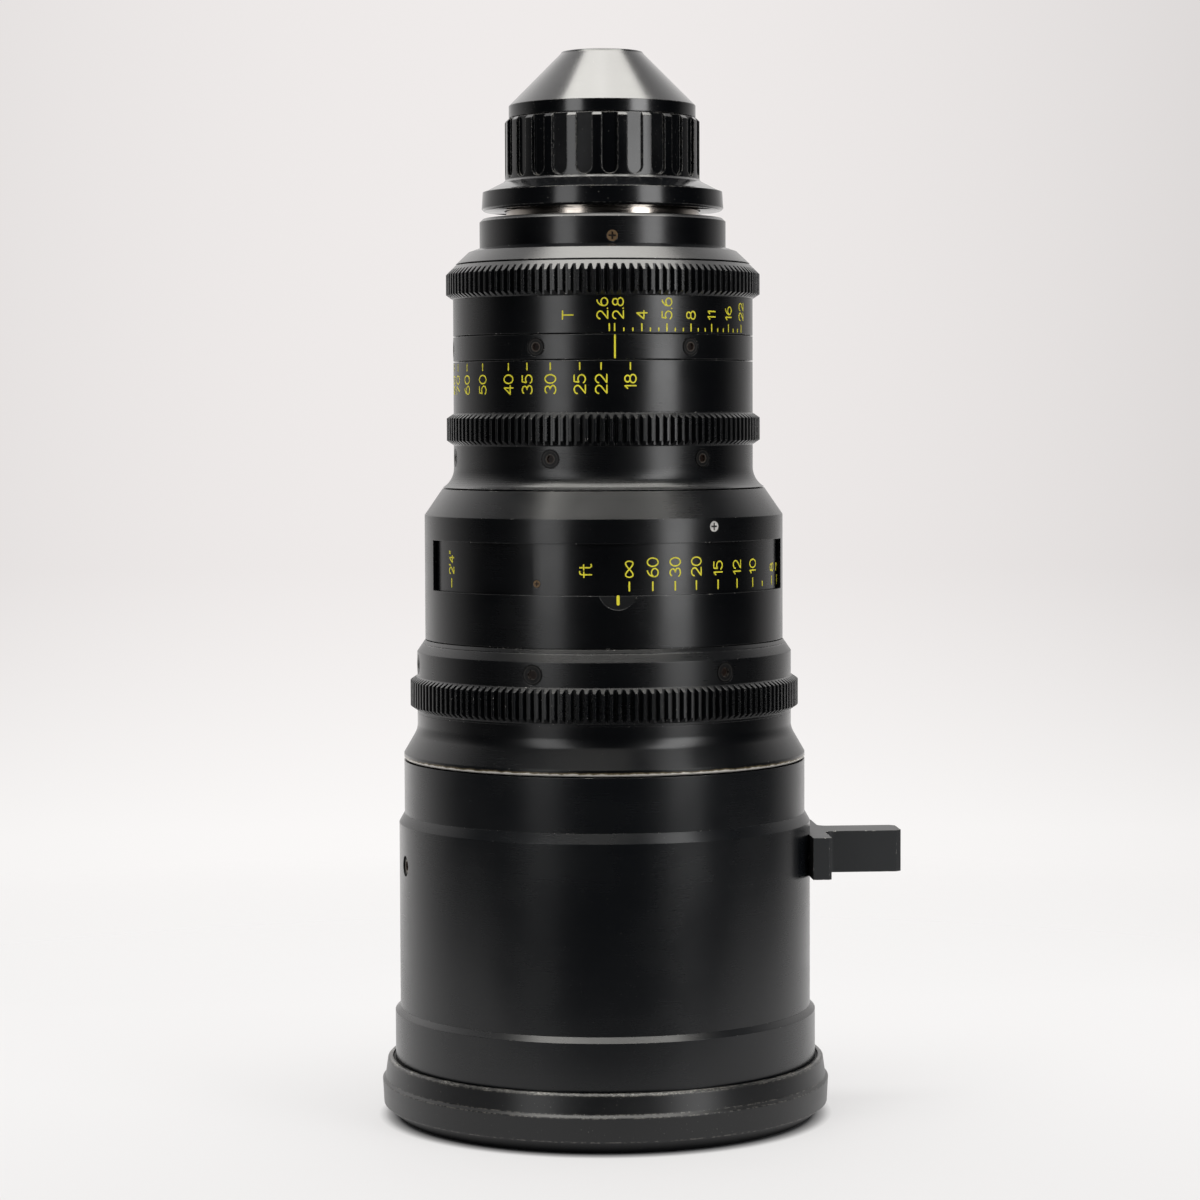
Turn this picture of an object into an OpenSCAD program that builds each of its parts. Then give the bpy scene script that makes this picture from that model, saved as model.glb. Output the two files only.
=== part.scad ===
// Cinema zoom lens standing on its front cap, rear mount and rear cap on top.
// Origin: centre of the front cap's flat face. +Z runs along the optical axis
// towards the rear mount. The index marks face -Y and the support foot points to +X.
// An angle called phi is measured from -Y towards +X.

/* [Front cap] */
// Radius of the cap at its step
cap_r = 71.2; // [71:0.1:76]
// Thickness of the cap's floor
cap_floor = 3; // [2:0.5:4]
// Height of the shelf that the lens stands on, above the cap's face
cap_shelf = 6; // [5:0.5:7]
// Height of the cap
cap_h = 18.9; // [18:0.1:24]
// Thickness of the felt liner
liner_t = 0.8; // [0.5:0.1:1.2]

/* [Front barrel] */
// Radius of the front ring, where a matte box clamps
front_r = 67; // [66.5:0.1:67.5]
// Height of the front ring
front_h = 29.35; // [28:0.05:34]
// Radius of the front barrel
barrel_r = 65.4; // [65:0.1:66]
// Height of the front barrel
barrel_h = 61.4; // [60:0.1:66]
// Inner radius of the front barrel
barrel_bore = 60; // [59:0.1:60.5]
// Radius of the collar above the front barrel
collar_r = 63.7; // [63.2:0.1:64.5]
// Height of the collar
collar_h = 16.8; // [16:0.1:19]
// Radius of the front element
front_glass_r = 58; // [56:0.1:58.5]

/* [Support foot] */
// Distance from the optical axis to the foot's end face
foot_reach = 94.5; // [88:0.5:110]
// Height of the foot along the optical axis
foot_h = 13.2; // [12:0.1:15]
// Height of the foot's middle above the cap's face
foot_z = 83.3; // [78:0.1:86]
// Width of the pad against the barrel
pad_w = 50; // [46:0.5:54]
// Thickness of the pad
pad_t = 5.9; // [5.5:0.1:7]
// Width of the post
post_w = 14.6; // [13:0.1:16]
// Radius of the tapped hole's wall in the end face
foot_thread_r = 2.55; // [2:0.05:3]
// Depth of the tapped hole
foot_thread_depth = 14; // [10:0.5:18]

/* [Gears] */
// Gear module of all three rings
gear_module = 0.8; // [0.8:0.01:0.82]
// Teeth on the focus gear
focus_teeth = 152; // [151:1:154]
// Teeth on the zoom gear and on the iris gear
small_teeth = 122; // [121:1:124]

/* [Focus ring] */
// Height of the focus ring
focus_h = 37.8; // [37:0.1:41]
// Radius of the focus ring's lands
focus_land_r = 59.4; // [59.2:0.05:59.7]
// Angle that the focus ring turns from its stop at infinity to close focus
focus_turn = 298; // [200:1:300]
// Travel of the focus group over that turn
focus_travel = 15; // [13:0.5:16]

/* [Body] */
// Radius of the body
body_r = 56.8; // [56.6:0.05:57.2]
// Wall of the body in front of the focus scale drum
body_wall = 1; // [0.8:0.05:1.1]
// Height of the body up to its cone
body_h = 39.1; // [38.5:0.1:42]
// Height of the cone
cone_h = 8.3; // [8:0.1:10]
// Radius at the top of the cone
cone_top_r = 51.1; // [50.8:0.1:52]
// Height of the focus window
window_h = 15.7; // [14:0.1:16.5]
// Angle that the focus window spans
window_span = 148; // [120:1:160]

/* [Zoom ring] */
// Height of the zoom ring
zoom_h = 39.4; // [39:0.1:42]
// Radius of the zoom, index and iris rings
ring_r = 47.4; // [47.3:0.05:47.6]
// Turn from rest to the wide stop
zoom_turn_wide = 5.7; // [4:0.1:7]
// Turn from rest to the long stop
zoom_turn_long = 85.4; // [70:0.1:86]
// Travel of the variator over the whole turn
variator_travel = 34; // [28:0.5:34]
// Travel of the compensator over the whole turn
compensator_travel = 10; // [8:0.5:10.5]

/* [Index ring and iris ring] */
// Height of the index ring
index_h = 7.5; // [7:0.1:9]
// Height of the iris ring
iris_h = 22.2; // [22:0.1:24]
// Turn from rest to the open stop
iris_turn_open = 2; // [1:0.5:3]
// Turn from rest to the closed stop
iris_turn_closed = 61; // [50:1:62]
// Number of iris blades
blade_count = 9; // [7:1:11]

/* [Rear end] */
// Height of the cover ring
cover_h = 5; // [4.8:0.1:6]
// Radius of the rear housing
housing_r = 38.9; // [38.5:0.1:39.5]
// Height of the rear housing above the cover ring
housing_h = 9.2; // [9:0.1:11]
// Thickness of the mount shim
shim_t = 0.2; // [0.1:0.05:0.4]
// Radius of the steel mount ring
mount_r = 30.5; // [30.3:0.1:31]
// Radius over the mount's lugs
lug_r = 35.4; // [35:0.1:35.6]
// Angle that each lug spans
lug_span = 40; // [36:1:42]
// Radius of the mount barrel
mount_barrel_r = 26.95; // [26.9:0.01:27]
// Height of the mount barrel above the rear housing
mount_barrel_h = 27.5; // [26:0.5:28.5]

/* [Rear cap] */
// Radius of the cap's flange
cap_flange_r = 38.2; // [38:0.1:39]
// Radius over the cap's ribs
grip_r = 30.75; // [30.6:0.05:31.2]
// Number of flutes
flute_count = 24; // [18:1:26]
// Width of a flute
flute_w = 5; // [4:0.1:5.4]
// Depth of a flute
flute_depth = 1.2; // [0.8:0.1:1.3]
// Radius of the band above the flutes
band_r = 29.5; // [29.3:0.05:29.8]
// Radius of the flat on top
cap_top_r = 12.4; // [10:0.1:14]

/* [Hidden] */

$fn = 96;
sphere_fn = 240;              // smoother spheres, because a lens is thin beside its radius
hex = 6;
full_turn = 360;
half_turn = 180;
quarter_turn = 90;
overrun = 1;

// Clearances
seat_gap = 0.05;     // fixed pieces that nest in each other
run_gap = 0.08;      // running fits, on the radius
face_gap = 0.4;      // between the faces of rings that turn past each other
small_gap = 0.3;     // other clearances
pin_gap = 0.1;       // cam pins in their slots

// Colours
anodised = "#1d1e20";
glossy = "#141518";
steel = "#b9bcc0";
brass = "#8a7648";
glass_tint = [0.62, 0.7, 0.72, 0.45];
inner_black = "#2a2b2d";
felt = "#0e0e10";

// Heights of the stack, from the cap's face to the rear
front_z = cap_shelf + seat_gap;
barrel_z = front_z + front_h;
collar_z = barrel_z + barrel_h;
focus_z = collar_z + collar_h + face_gap;
body_z = focus_z + focus_h + small_gap;
cone_z = body_z + body_h;
zoom_z = cone_z + cone_h + face_gap;
index_z = zoom_z + zoom_h + face_gap;
iris_z = index_z + index_h + face_gap;
cover_z = iris_z + iris_h + face_gap;
housing_z = cover_z + cover_h;
shim_z = housing_z + housing_h;
mount_z = shim_z + shim_t;

// Radii that pieces share
sleeve_wide_bore = 50.5;      // main sleeve, around the focus group
sleeve_wide_r = 53.9;         // main sleeve, under the focus ring
sleeve_bore = 41.5;           // main sleeve, around the cam drum
sleeve_r = 44;                // main sleeve, under the zoom and iris rings
sleeve_end_r = 43.25;         // main sleeve, under the cover ring
guide_bore = 36.2;
guide_r = 38.42;
pin_r = 2;                    // zoom cam pins
focus_pin_r = 1.5;
key_r = 2.5;
iris_key_r = 1.5;
key_cover = 0.9;              // metal left outside a key

// Gear sizes
gear_addendum = gear_module;
dedendum_share = 1.25;
gear_dedendum = dedendum_share * gear_module;
focus_tip_r = (focus_teeth / 2 + 1) * gear_module;
small_tip_r = (small_teeth / 2 + 1) * gear_module;
gear_face = 7.8;              // full width of the focus teeth
small_gear_face = 6.95;       // full width of the zoom teeth
gear_bevel_share = 0.7;       // height of the bevel beside the teeth, as a share of its run
tip_land_share = 0.15;        // half the tooth's tip, as a share of the pitch
root_land_share = 0.34;       // half the tooth's root, as a share of the pitch

// Basic shapes
module lathe(outline) {
    rotate_extrude() polygon(outline);
}

module tube(r_out, r_in, z0, z1) {
    lathe([[r_in, z0], [r_out, z0], [r_out, z1], [r_in, z1]]);
}

// Puts children on a cylinder's face at phi, with their +Z pointing outwards
module on_face(phi, r, z) {
    rotate([0, 0, phi]) translate([0, -r, z]) rotate([quarter_turn, 0, 0]) children();
}

// A ring sector from phi0 to phi1
module sector(r_out, r_in, z0, z1, phi0, phi1) {
    rotate([0, 0, phi0 - quarter_turn])
        rotate_extrude(angle = phi1 - phi0)
            polygon([[r_in, z0], [r_out, z0], [r_out, z1], [r_in, z1]]);
}

// Points along an arc in an outline
function arc(cr, cz, r, a0, a1, n) =
    [for (i = [0 : n]) let (a = a0 + (a1 - a0) * i / n) [cr + r * cos(a), cz + r * sin(a)]];

function sag(sphere_r, rim_r) = sphere_r - sqrt(sphere_r * sphere_r - rim_r * rim_r);

// Outline of a spur gear with straight flanks, which run on a little past the tips
function gear_outline(teeth, tip_r, root_r) =
    let (pitch = full_turn / teeth, out_r = tip_r + small_gap,
         out_share = tip_land_share
                     - (root_land_share - tip_land_share) * small_gap / (tip_r - root_r))
    [for (i = [0 : teeth - 1], corner = [[root_r, -root_land_share], [out_r, -out_share],
                                         [out_r, out_share], [root_r, root_land_share]])
        let (a = (i + corner[1]) * pitch) [corner[0] * cos(a), corner[0] * sin(a)]];

// The gaps between a gear's teeth, cut from its blank from z0 to z1
module tooth_gaps(teeth, tip_r, z0, z1) {
    translate([0, 0, z0]) linear_extrude(z1 - z0) difference() {
        circle(r = tip_r + overrun);
        polygon(gear_outline(teeth, tip_r, tip_r - gear_addendum - gear_dedendum));
    }
}

// Outline of a gear blank, with a bevel on both sides from the land's radius at z0
function gear_blank(tip_r, land_r, z0, face) =
    let (bevel = (tip_r - land_r) * gear_bevel_share)
    [[land_r, z0], [tip_r, z0 + bevel], [tip_r, z0 + bevel + face], [land_r, z0 + 2 * bevel + face]];

// Countersunk screw, head flush at z = 0, shank down to -length
csk_edge_share = 0.12;        // straight edge of the head, as a share of its radius
csk_cone_share = 0.9;         // height of the cone, as a share of its run
csk_socket_share = 0.5;       // depth of the socket, as a share of the head's height
cross_arm_share = 0.7;        // length of a cross recess's arm, as a share of the head's radius
cross_width_share = 0.34;     // width of that arm, as a share of the head's radius
module csk_blank(head_r, shank_r, length) {
    lathe([[0, -length], [shank_r, -length], [shank_r, -csk_drop(head_r, shank_r)],
           [head_r, -csk_edge(head_r)], [head_r, 0], [0, 0]]);
}

// The screw with a hexagon socket
module csk_screw(head_r, shank_r, length, socket_r) {
    difference() {
        csk_blank(head_r, shank_r, length);
        translate([0, 0, -csk_drop(head_r, shank_r) * csk_socket_share])
            cylinder(r = socket_r, h = overrun + csk_drop(head_r, shank_r), $fn = hex);
    }
}

// The screw with a cross recess
module cross_screw(head_r, shank_r, length) {
    arm = head_r * cross_arm_share;
    width = head_r * cross_width_share;
    difference() {
        csk_blank(head_r, shank_r, length);
        for (turn = [0, quarter_turn])
            rotate([0, 0, turn])
                translate([-arm, -width / 2, -csk_drop(head_r, shank_r) * csk_socket_share])
                    cube([2 * arm, width, overrun + csk_drop(head_r, shank_r)]);
    }
}
function csk_edge(head_r) = head_r * csk_edge_share;
function csk_drop(head_r, shank_r) = csk_edge(head_r) + (head_r - shank_r) * csk_cone_share;

// The hole that such a screw sits in, open above z = 0
module csk_hole(head_r, shank_r, length) {
    lathe([[0, -length - seat_gap], [shank_r + seat_gap, -length - seat_gap],
           [shank_r + seat_gap, -csk_drop(head_r, shank_r) - seat_gap],
           [head_r + seat_gap, -csk_edge(head_r) - seat_gap], [head_r + seat_gap, overrun],
           [0, overrun]]);
}

// Channel that follows a helix from phi0 up to phi1 (phi1 > phi0), for a cam pin
module helix_channel(r_in, r_out, phi0, z0, phi1, z1, h, steps) {
    points = [for (i = [0 : steps])
        let (t = i / steps, a = phi0 + (phi1 - phi0) * t - quarter_turn, z = z0 + (z1 - z0) * t)
        each [[r_in * cos(a), r_in * sin(a), z - h / 2], [r_out * cos(a), r_out * sin(a), z - h / 2],
              [r_out * cos(a), r_out * sin(a), z + h / 2], [r_in * cos(a), r_in * sin(a), z + h / 2]]];
    last = 4 * steps;
    sides = [for (i = [0 : steps - 1], j = [0 : 3])
        let (a = 4 * i + j, b = 4 * i + (j + 1) % 4)
        each [[a, b, b + 4], [a, b + 4, a + 4]]];
    ends = [[0, 3, 2], [0, 2, 1], [last, last + 1, last + 2], [last, last + 2, last + 3]];
    polyhedron(points, concat(sides, ends));
}

// A lens between z0 and z1. A positive radius bulges outwards, a negative one is
// hollow and leaves a flat rim outside clear_r, and 0 is flat.
module lens(r, z0, z1, front_sphere, rear_sphere, clear_r) {
    sag_front = sag(abs(front_sphere), clear_r);
    sag_rear = sag(abs(rear_sphere), clear_r);
    difference() {
        intersection() {
            translate([0, 0, z0]) cylinder(r = r, h = z1 - z0);
            if (front_sphere > 0)
                translate([0, 0, z0 + front_sphere]) sphere(front_sphere, $fn = sphere_fn);
            if (rear_sphere > 0) translate([0, 0, z1 - rear_sphere]) sphere(rear_sphere, $fn = sphere_fn);
        }
        if (front_sphere < 0)
            translate([0, 0, z0 + sag_front + front_sphere]) sphere(-front_sphere, $fn = sphere_fn);
        if (rear_sphere < 0)
            translate([0, 0, z1 - sag_rear - rear_sphere]) sphere(-rear_sphere, $fn = sphere_fn);
    }
}

// Front cap

cap_foot_w = 6.2;             // bevel around the flat face, in the radius and in the height
cap_foot_h = 4.4;
cap_draft = 0.4;              // the side widens by this much up to the step
cap_step = 0.9;
cap_step_share = 0.625;       // height of the step, as a share of cap_h
cap_taper = 0.8;
cap_edge = 0.6;
cap_shelf_w = 6;
cap_bore = front_r + run_gap;
cap_shelf_r = front_r - cap_shelf_w;
liner_share = 0.42;
liner_z = liner_share * cap_h;

module front_cap() {
    step_z = cap_step_share * cap_h;
    lip_r = cap_r - cap_step - cap_taper;
    color(glossy) lathe([
        [0, 0], [cap_r - cap_foot_w, 0], [cap_r - cap_draft, cap_foot_h], [cap_r, step_z],
        [cap_r - cap_step, step_z + cap_step], [lip_r, cap_h - cap_edge], [lip_r - cap_edge, cap_h],
        [cap_bore + liner_t, cap_h], [cap_bore + liner_t, liner_z], [cap_bore, liner_z],
        [cap_bore, cap_shelf], [cap_shelf_r, cap_shelf], [cap_shelf_r, cap_floor], [0, cap_floor]]);
}

module cap_liner() {
    color(felt) tube(cap_bore + liner_t - seat_gap, cap_bore, liner_z, cap_h - cap_edge);
}

// Front ring and the fixed front glass

front_chamfer = 1.4;
front_bevel_h = 1.7;
glass_setback = 2.75;
glass_vertex_z = front_z + glass_setback;
glass_front_sphere = 140;
front_glass_t = 16.25;
glass_back_z = glass_vertex_z + front_glass_t;
shoulder_w = 2.5;
shoulder_r = front_glass_r - shoulder_w;
nose_r = 62.9;
nose_h = 8.4;
nose_z = barrel_z - nose_h;
retainer_w = 2;
retainer_r_in = front_glass_r - retainer_w;
retainer_h = 6;
retainer_top_z = glass_vertex_z + sag(glass_front_sphere, retainer_r_in) - seat_gap;

module front_ring() {
    color(anodised) lathe([
        [front_glass_r + seat_gap, front_z], [front_r - front_chamfer / 2, front_z],
        [front_r, front_z + front_chamfer / 2], [front_r, barrel_z - front_bevel_h],
        [barrel_r, barrel_z], [nose_r + seat_gap, barrel_z],
        [nose_r + seat_gap, nose_z - seat_gap], [shoulder_r, nose_z - seat_gap],
        [shoulder_r, glass_back_z + seat_gap], [front_glass_r + seat_gap, glass_back_z + seat_gap]]);
}

module front_retainer() {
    color(anodised) tube(front_glass_r, retainer_r_in, retainer_top_z - retainer_h, retainer_top_z);
}

module front_element() {
    color(glass_tint)
        lens(front_glass_r, glass_vertex_z, glass_back_z, glass_front_sphere, 0, front_glass_r);
}

// Front barrel, its seat for the foot, and the lock screw

barrel_bevel_h = 3;
foot_seat_depth = 1.7;
foot_seat_x = barrel_r - foot_seat_depth;
foot_screw_y = 13.2;
foot_screw_head_r = 3.5;
foot_screw_head_h = 3.6;
foot_screw_shank_r = 2;
foot_screw_margin = 0.6;
foot_screw_tip_x = barrel_bore + foot_screw_margin;
lock_phi = -77.5;
lock_z = 81.4;
lock_r = 3.2;
lock_length = 4;
lock_sink = 0.5;
lock_face_r = barrel_r - lock_sink;

module front_barrel() {
    color(anodised) difference() {
        lathe([[barrel_bore, nose_z], [nose_r, nose_z], [nose_r, barrel_z], [barrel_r, barrel_z],
               [barrel_r, collar_z - barrel_bevel_h], [collar_r, collar_z], [barrel_bore, collar_z]]);
        translate([foot_seat_x, -pad_w / 2, foot_z - foot_h / 2 - seat_gap])
            cube([barrel_r, pad_w, foot_h + 2 * seat_gap]);
        for (side = [-1, 1])
            translate([foot_screw_tip_x - seat_gap, side * foot_screw_y, foot_z])
                rotate([0, quarter_turn, 0])
                    cylinder(r = foot_screw_shank_r + seat_gap, h = barrel_r - barrel_bore);
        on_face(lock_phi, barrel_bore - overrun, lock_z)
            cylinder(r = lock_r + seat_gap, h = barrel_r - barrel_bore + 2 * overrun);
    }
}

module barrel_lock_screw() {
    color(inner_black) on_face(lock_phi, lock_face_r - lock_length, lock_z) difference() {
        cylinder(r = lock_r, h = lock_length);
        translate([0, 0, lock_length / 2]) cylinder(r = lock_r / 2, h = lock_length, $fn = hex);
    }
}

// Support foot

fillet_r = 3;
foot_edge = 1.6;
pad_edge = 0.8;
post_x = foot_seat_x + pad_t;

module foot_plan() {
    difference() {
        union() {
            polygon([[foot_seat_x, -pad_w / 2], [post_x - pad_edge, -pad_w / 2],
                     [post_x, -pad_w / 2 + pad_edge], [post_x, pad_w / 2 - pad_edge],
                     [post_x - pad_edge, pad_w / 2], [foot_seat_x, pad_w / 2]]);
            polygon([[post_x - pad_edge, -post_w / 2 - fillet_r],
                     [post_x + fillet_r, -post_w / 2 - fillet_r],
                     [post_x + fillet_r, -post_w / 2], [foot_reach - foot_edge, -post_w / 2],
                     [foot_reach, -post_w / 2 + foot_edge], [foot_reach, post_w / 2 - foot_edge],
                     [foot_reach - foot_edge, post_w / 2], [post_x + fillet_r, post_w / 2],
                     [post_x + fillet_r, post_w / 2 + fillet_r],
                     [post_x - pad_edge, post_w / 2 + fillet_r]]);
        }
        for (side = [-1, 1])
            translate([post_x + fillet_r, side * (post_w / 2 + fillet_r)]) circle(r = fillet_r);
    }
}

module support_foot() {
    color("#2b2c2e") difference() {
        translate([0, 0, foot_z - foot_h / 2]) linear_extrude(foot_h) foot_plan();
        for (side = [-1, 1]) translate([0, side * foot_screw_y, foot_z]) rotate([0, quarter_turn, 0]) {
            cylinder(r = foot_screw_shank_r + seat_gap, h = foot_reach);
            translate([0, 0, post_x - foot_screw_head_h])
                cylinder(r = foot_screw_head_r + seat_gap, h = foot_reach);
        }
        translate([foot_reach - foot_thread_depth, 0, foot_z]) rotate([0, quarter_turn, 0])
            cylinder(r = foot_thread_r, h = foot_thread_depth + overrun);
    }
}

module foot_screws() {
    color(steel) for (side = [-1, 1])
        translate([post_x - foot_screw_head_h, side * foot_screw_y, foot_z])
            rotate([0, quarter_turn, 0]) difference() {
                union() {
                    cylinder(r = foot_screw_head_r, h = foot_screw_head_h);
                    translate([0, 0, foot_screw_tip_x - post_x + foot_screw_head_h])
                        cylinder(r = foot_screw_shank_r, h = post_x - foot_screw_tip_x);
                }
                translate([0, 0, foot_screw_head_h / 2])
                    cylinder(r = foot_screw_head_r / 2, h = foot_screw_head_h, $fn = hex);
            }
}

// Inner front cell

cell_setback = 2.6;
cell_z = barrel_z + cell_setback;
cell_h = 28;
inner_glass_r = 50;
inner_glass_setback = 4;
inner_glass_z = cell_z + inner_glass_setback;
inner_glass_t = 12;
inner_clear_r = 47;
inner_sphere = -110;
cell_ledge_r = 47.5;

module front_cell() {
    ledge_z = inner_glass_z + inner_glass_t + seat_gap;
    color(inner_black) lathe([
        [inner_glass_r + seat_gap, cell_z], [barrel_bore - seat_gap, cell_z],
        [barrel_bore - seat_gap, cell_z + cell_h], [cell_ledge_r, cell_z + cell_h],
        [cell_ledge_r, ledge_z], [inner_glass_r + seat_gap, ledge_z]]);
}

module inner_element() {
    color(glass_tint) lens(inner_glass_r, inner_glass_z, inner_glass_z + inner_glass_t,
                           inner_sphere, 0, inner_clear_r);
}

// Collar: joins the front barrel and the main sleeve

collar_spigot = 9;
flange_r = 60.5;
flange_t = 5;
flange_rise = 9.2;
flange_z = collar_z + flange_rise;
collar_bore = sleeve_wide_r + small_gap;
collar_screw_count = 6;
collar_screw_ring = 57.2;
collar_screw_head_r = 2.7;
collar_screw_shank_r = 1.5;
collar_screw_length = 12;
collar_screw_head_h = 2.4;

module at_collar_screws() {
    for (i = [0 : collar_screw_count - 1])
        rotate([0, 0, (2 * i + 1) * half_turn / collar_screw_count])
            translate([collar_screw_ring, 0, flange_z + flange_t]) children();
}

module collar_screw(gap) {
    translate([0, 0, -collar_screw_head_h - gap])
        cylinder(r = collar_screw_head_r + gap, h = collar_screw_head_h + (gap > 0 ? overrun : 0));
    translate([0, 0, -collar_screw_length - gap])
        cylinder(r = collar_screw_shank_r + gap, h = collar_screw_length);
}

module barrel_collar() {
    color(anodised) difference() {
        lathe([[collar_bore, collar_z - collar_spigot], [barrel_bore - seat_gap, collar_z - collar_spigot],
               [barrel_bore - seat_gap, collar_z], [collar_r, collar_z],
               [collar_r, collar_z + collar_h], [flange_r + seat_gap, collar_z + collar_h],
               [flange_r + seat_gap, flange_z], [collar_bore, flange_z]]);
        at_collar_screws() collar_screw(seat_gap);
    }
}

module collar_screws() {
    color(steel) at_collar_screws() difference() {
        collar_screw(0);
        translate([0, 0, -collar_screw_head_h / 2])
            cylinder(r = collar_screw_head_r / 2, h = collar_screw_head_h, $fn = hex);
    }
}

// Main sleeve: every ring turns on it

sleeve_tail = 0.1;
sleeve_z = collar_z - sleeve_tail;
guide_drop = 2.2;
guide_z = body_z - guide_drop;
sleeve_flange_drop = 4.3;
sleeve_flange_z = cone_z - sleeve_flange_drop;
sleeve_flange_h = 3.4;
sleeve_neck_r = 49.5;
sleeve_end_h = 1.2;
sleeve_end_z = cover_z + sleeve_end_h;
body_bore = body_r - body_wall;

focus_pin_count = 3;
focus_pin_rise = 22.7;
focus_pin_z = focus_z + focus_pin_rise;
cam_count = 3;
variator_phi = 30;
compensator_phi = 90;
zoom_key_phi = 60;
zoom_key_count = 2;
zoom_key_drop = 3.8;
zoom_key_z = index_z - zoom_key_drop;
iris_key_phi = 20;
iris_key_count = 2;

iris_base_rise = 1.6;
iris_base_z = iris_z + iris_base_rise;
iris_base_t = 3.2;
blade_z = iris_base_z + iris_base_t + small_gap;
blade_t = 0.2;
blade_pitch = 0.32;
actuator_z = blade_z + blade_count * blade_pitch + small_gap;
actuator_t = 2.6;
iris_key_z = actuator_z + actuator_t / 2;
spigot_z = actuator_z + actuator_t + small_gap;

function key_margin(r) = asin((r + small_gap) / sleeve_bore);

module focus_slots(r_in, r_out) {
    for (i = [0 : focus_pin_count - 1])
        rotate([0, 0, i * full_turn / focus_pin_count])
            translate([-focus_pin_r - pin_gap, -r_out,
                       focus_pin_z - focus_travel - focus_pin_r - pin_gap])
                cube([2 * (focus_pin_r + pin_gap), r_out - r_in,
                      focus_travel + 2 * (focus_pin_r + pin_gap)]);
}

module key_slots(count, phi, r, z, turn_low, turn_high) {
    for (i = [0 : count - 1])
        sector(sleeve_r + overrun, sleeve_bore - overrun, z - r - small_gap, z + r + small_gap,
               phi + i * full_turn / count - turn_low - key_margin(r),
               phi + i * full_turn / count + turn_high + key_margin(r));
}

module main_sleeve() {
    color(inner_black) difference() {
        lathe([[sleeve_wide_bore, sleeve_z], [sleeve_wide_r, sleeve_z], [sleeve_wide_r, flange_z],
               [flange_r, flange_z], [flange_r, flange_z + flange_t],
               [sleeve_wide_r, flange_z + flange_t], [sleeve_wide_r, sleeve_flange_z],
               [body_bore - seat_gap, sleeve_flange_z],
               [body_bore - seat_gap, sleeve_flange_z + sleeve_flange_h],
               [sleeve_neck_r, sleeve_flange_z + sleeve_flange_h],
               [sleeve_neck_r, zoom_z - face_gap], [sleeve_r, zoom_z - face_gap],
               [sleeve_r, cover_z], [sleeve_end_r, cover_z], [sleeve_end_r, sleeve_end_z],
               [sleeve_bore, sleeve_end_z], [sleeve_bore, guide_z], [sleeve_wide_bore, guide_z]]);
        at_collar_screws() collar_screw(seat_gap);
        focus_slots(sleeve_wide_bore - overrun, sleeve_wide_r + overrun);
        key_slots(zoom_key_count, zoom_key_phi, key_r, zoom_key_z, zoom_turn_wide, zoom_turn_long);
        key_slots(iris_key_count, iris_key_phi, iris_key_r, iris_key_z,
                  iris_turn_closed, iris_turn_open);
        at_index_screws() csk_hole(index_head_r, index_shank_r, index_screw_length);
        on_face(body_screw_phi, body_r, body_screw_z)
            csk_hole(body_screw_head_r, body_screw_shank_r, body_screw_length);
    }
}

// Focus ring: hub with the flare, gear ring, cam sleeve and scale drum

flare_r = 7;
flare_turn = 30;
flare_rise = 11.2;
flare_z = focus_z + flare_rise;
flare_steps = 10;
hub_edge = 0.5;
hub_sleeve_r = 57.55;
cam_bore = sleeve_wide_r + run_gap;
cam_r = 56.6;
gear_seat_rise = 14.7;
gear_seat_z = focus_z + gear_seat_rise;
gear_lead = 0.8;
gear_z = gear_seat_z + gear_lead;
focus_land_h = 34;
focus_chamfer_z = focus_z + focus_land_h;
drum_r = body_bore - small_gap;
drum_gap = 0.25;
drum_bore = sleeve_wide_r + drum_gap;
drum_seat_h = 3;
drum_seat_drop = 2.2;
drum_seat_z = body_z - drum_seat_h - drum_seat_drop;
drum_top_gap = 0.6;
drum_top_z = sleeve_flange_z - drum_top_gap;
cam_setback = 3;
cam_z = flange_z + flange_t + cam_setback;
focus_screw_count = 6;
focus_screw_phi = -25.9;
focus_screw_rise = 30.2;
focus_screw_z = focus_z + focus_screw_rise;
focus_head_r = 3.15;
focus_shank_r = 1.6;
focus_screw_length = 4.2;
drum_screw_rise = 19.5;
drum_screw_z = body_z + drum_screw_rise;
drum_screw_head_r = 1.1;
drum_screw_shank_r = 0.7;
drum_screw_length = 1.2;
focus_cam_steps = 60;

// Height at which the bevel below the body seam reaches a radius
function focus_bevel_z(r) =
    focus_chamfer_z + (body_z - small_gap - focus_chamfer_z) * (focus_land_r - r) / (focus_land_r - body_r);

module at_focus_screws() {
    for (i = [0 : focus_screw_count - 1])
        on_face(focus_screw_phi + i * full_turn / focus_screw_count, focus_land_r, focus_screw_z)
            children();
}

// The hub's flare: a cone that meets the fillet at flare_turn, over a short lip
module focus_hub() {
    fillet_end_r = focus_land_r + flare_r * (1 - cos(flare_turn));
    lip_z = flare_z - flare_r * sin(flare_turn) - (collar_r - fillet_end_r) / tan(flare_turn);
    color(anodised) difference() {
        lathe(concat([[cam_r + seat_gap, focus_z], [collar_r - hub_edge, focus_z],
                      [collar_r, focus_z + hub_edge], [collar_r, lip_z]],
                     arc(focus_land_r + flare_r, flare_z, flare_r,
                         half_turn + flare_turn, half_turn, flare_steps),
                     [[focus_land_r, gear_seat_z], [hub_sleeve_r, gear_seat_z],
                      [hub_sleeve_r, focus_bevel_z(hub_sleeve_r)], [body_r, body_z - small_gap],
                      [cam_r + seat_gap, body_z - small_gap]]));
        at_focus_screws() csk_hole(focus_head_r, focus_shank_r, focus_screw_length);
    }
}

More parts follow.
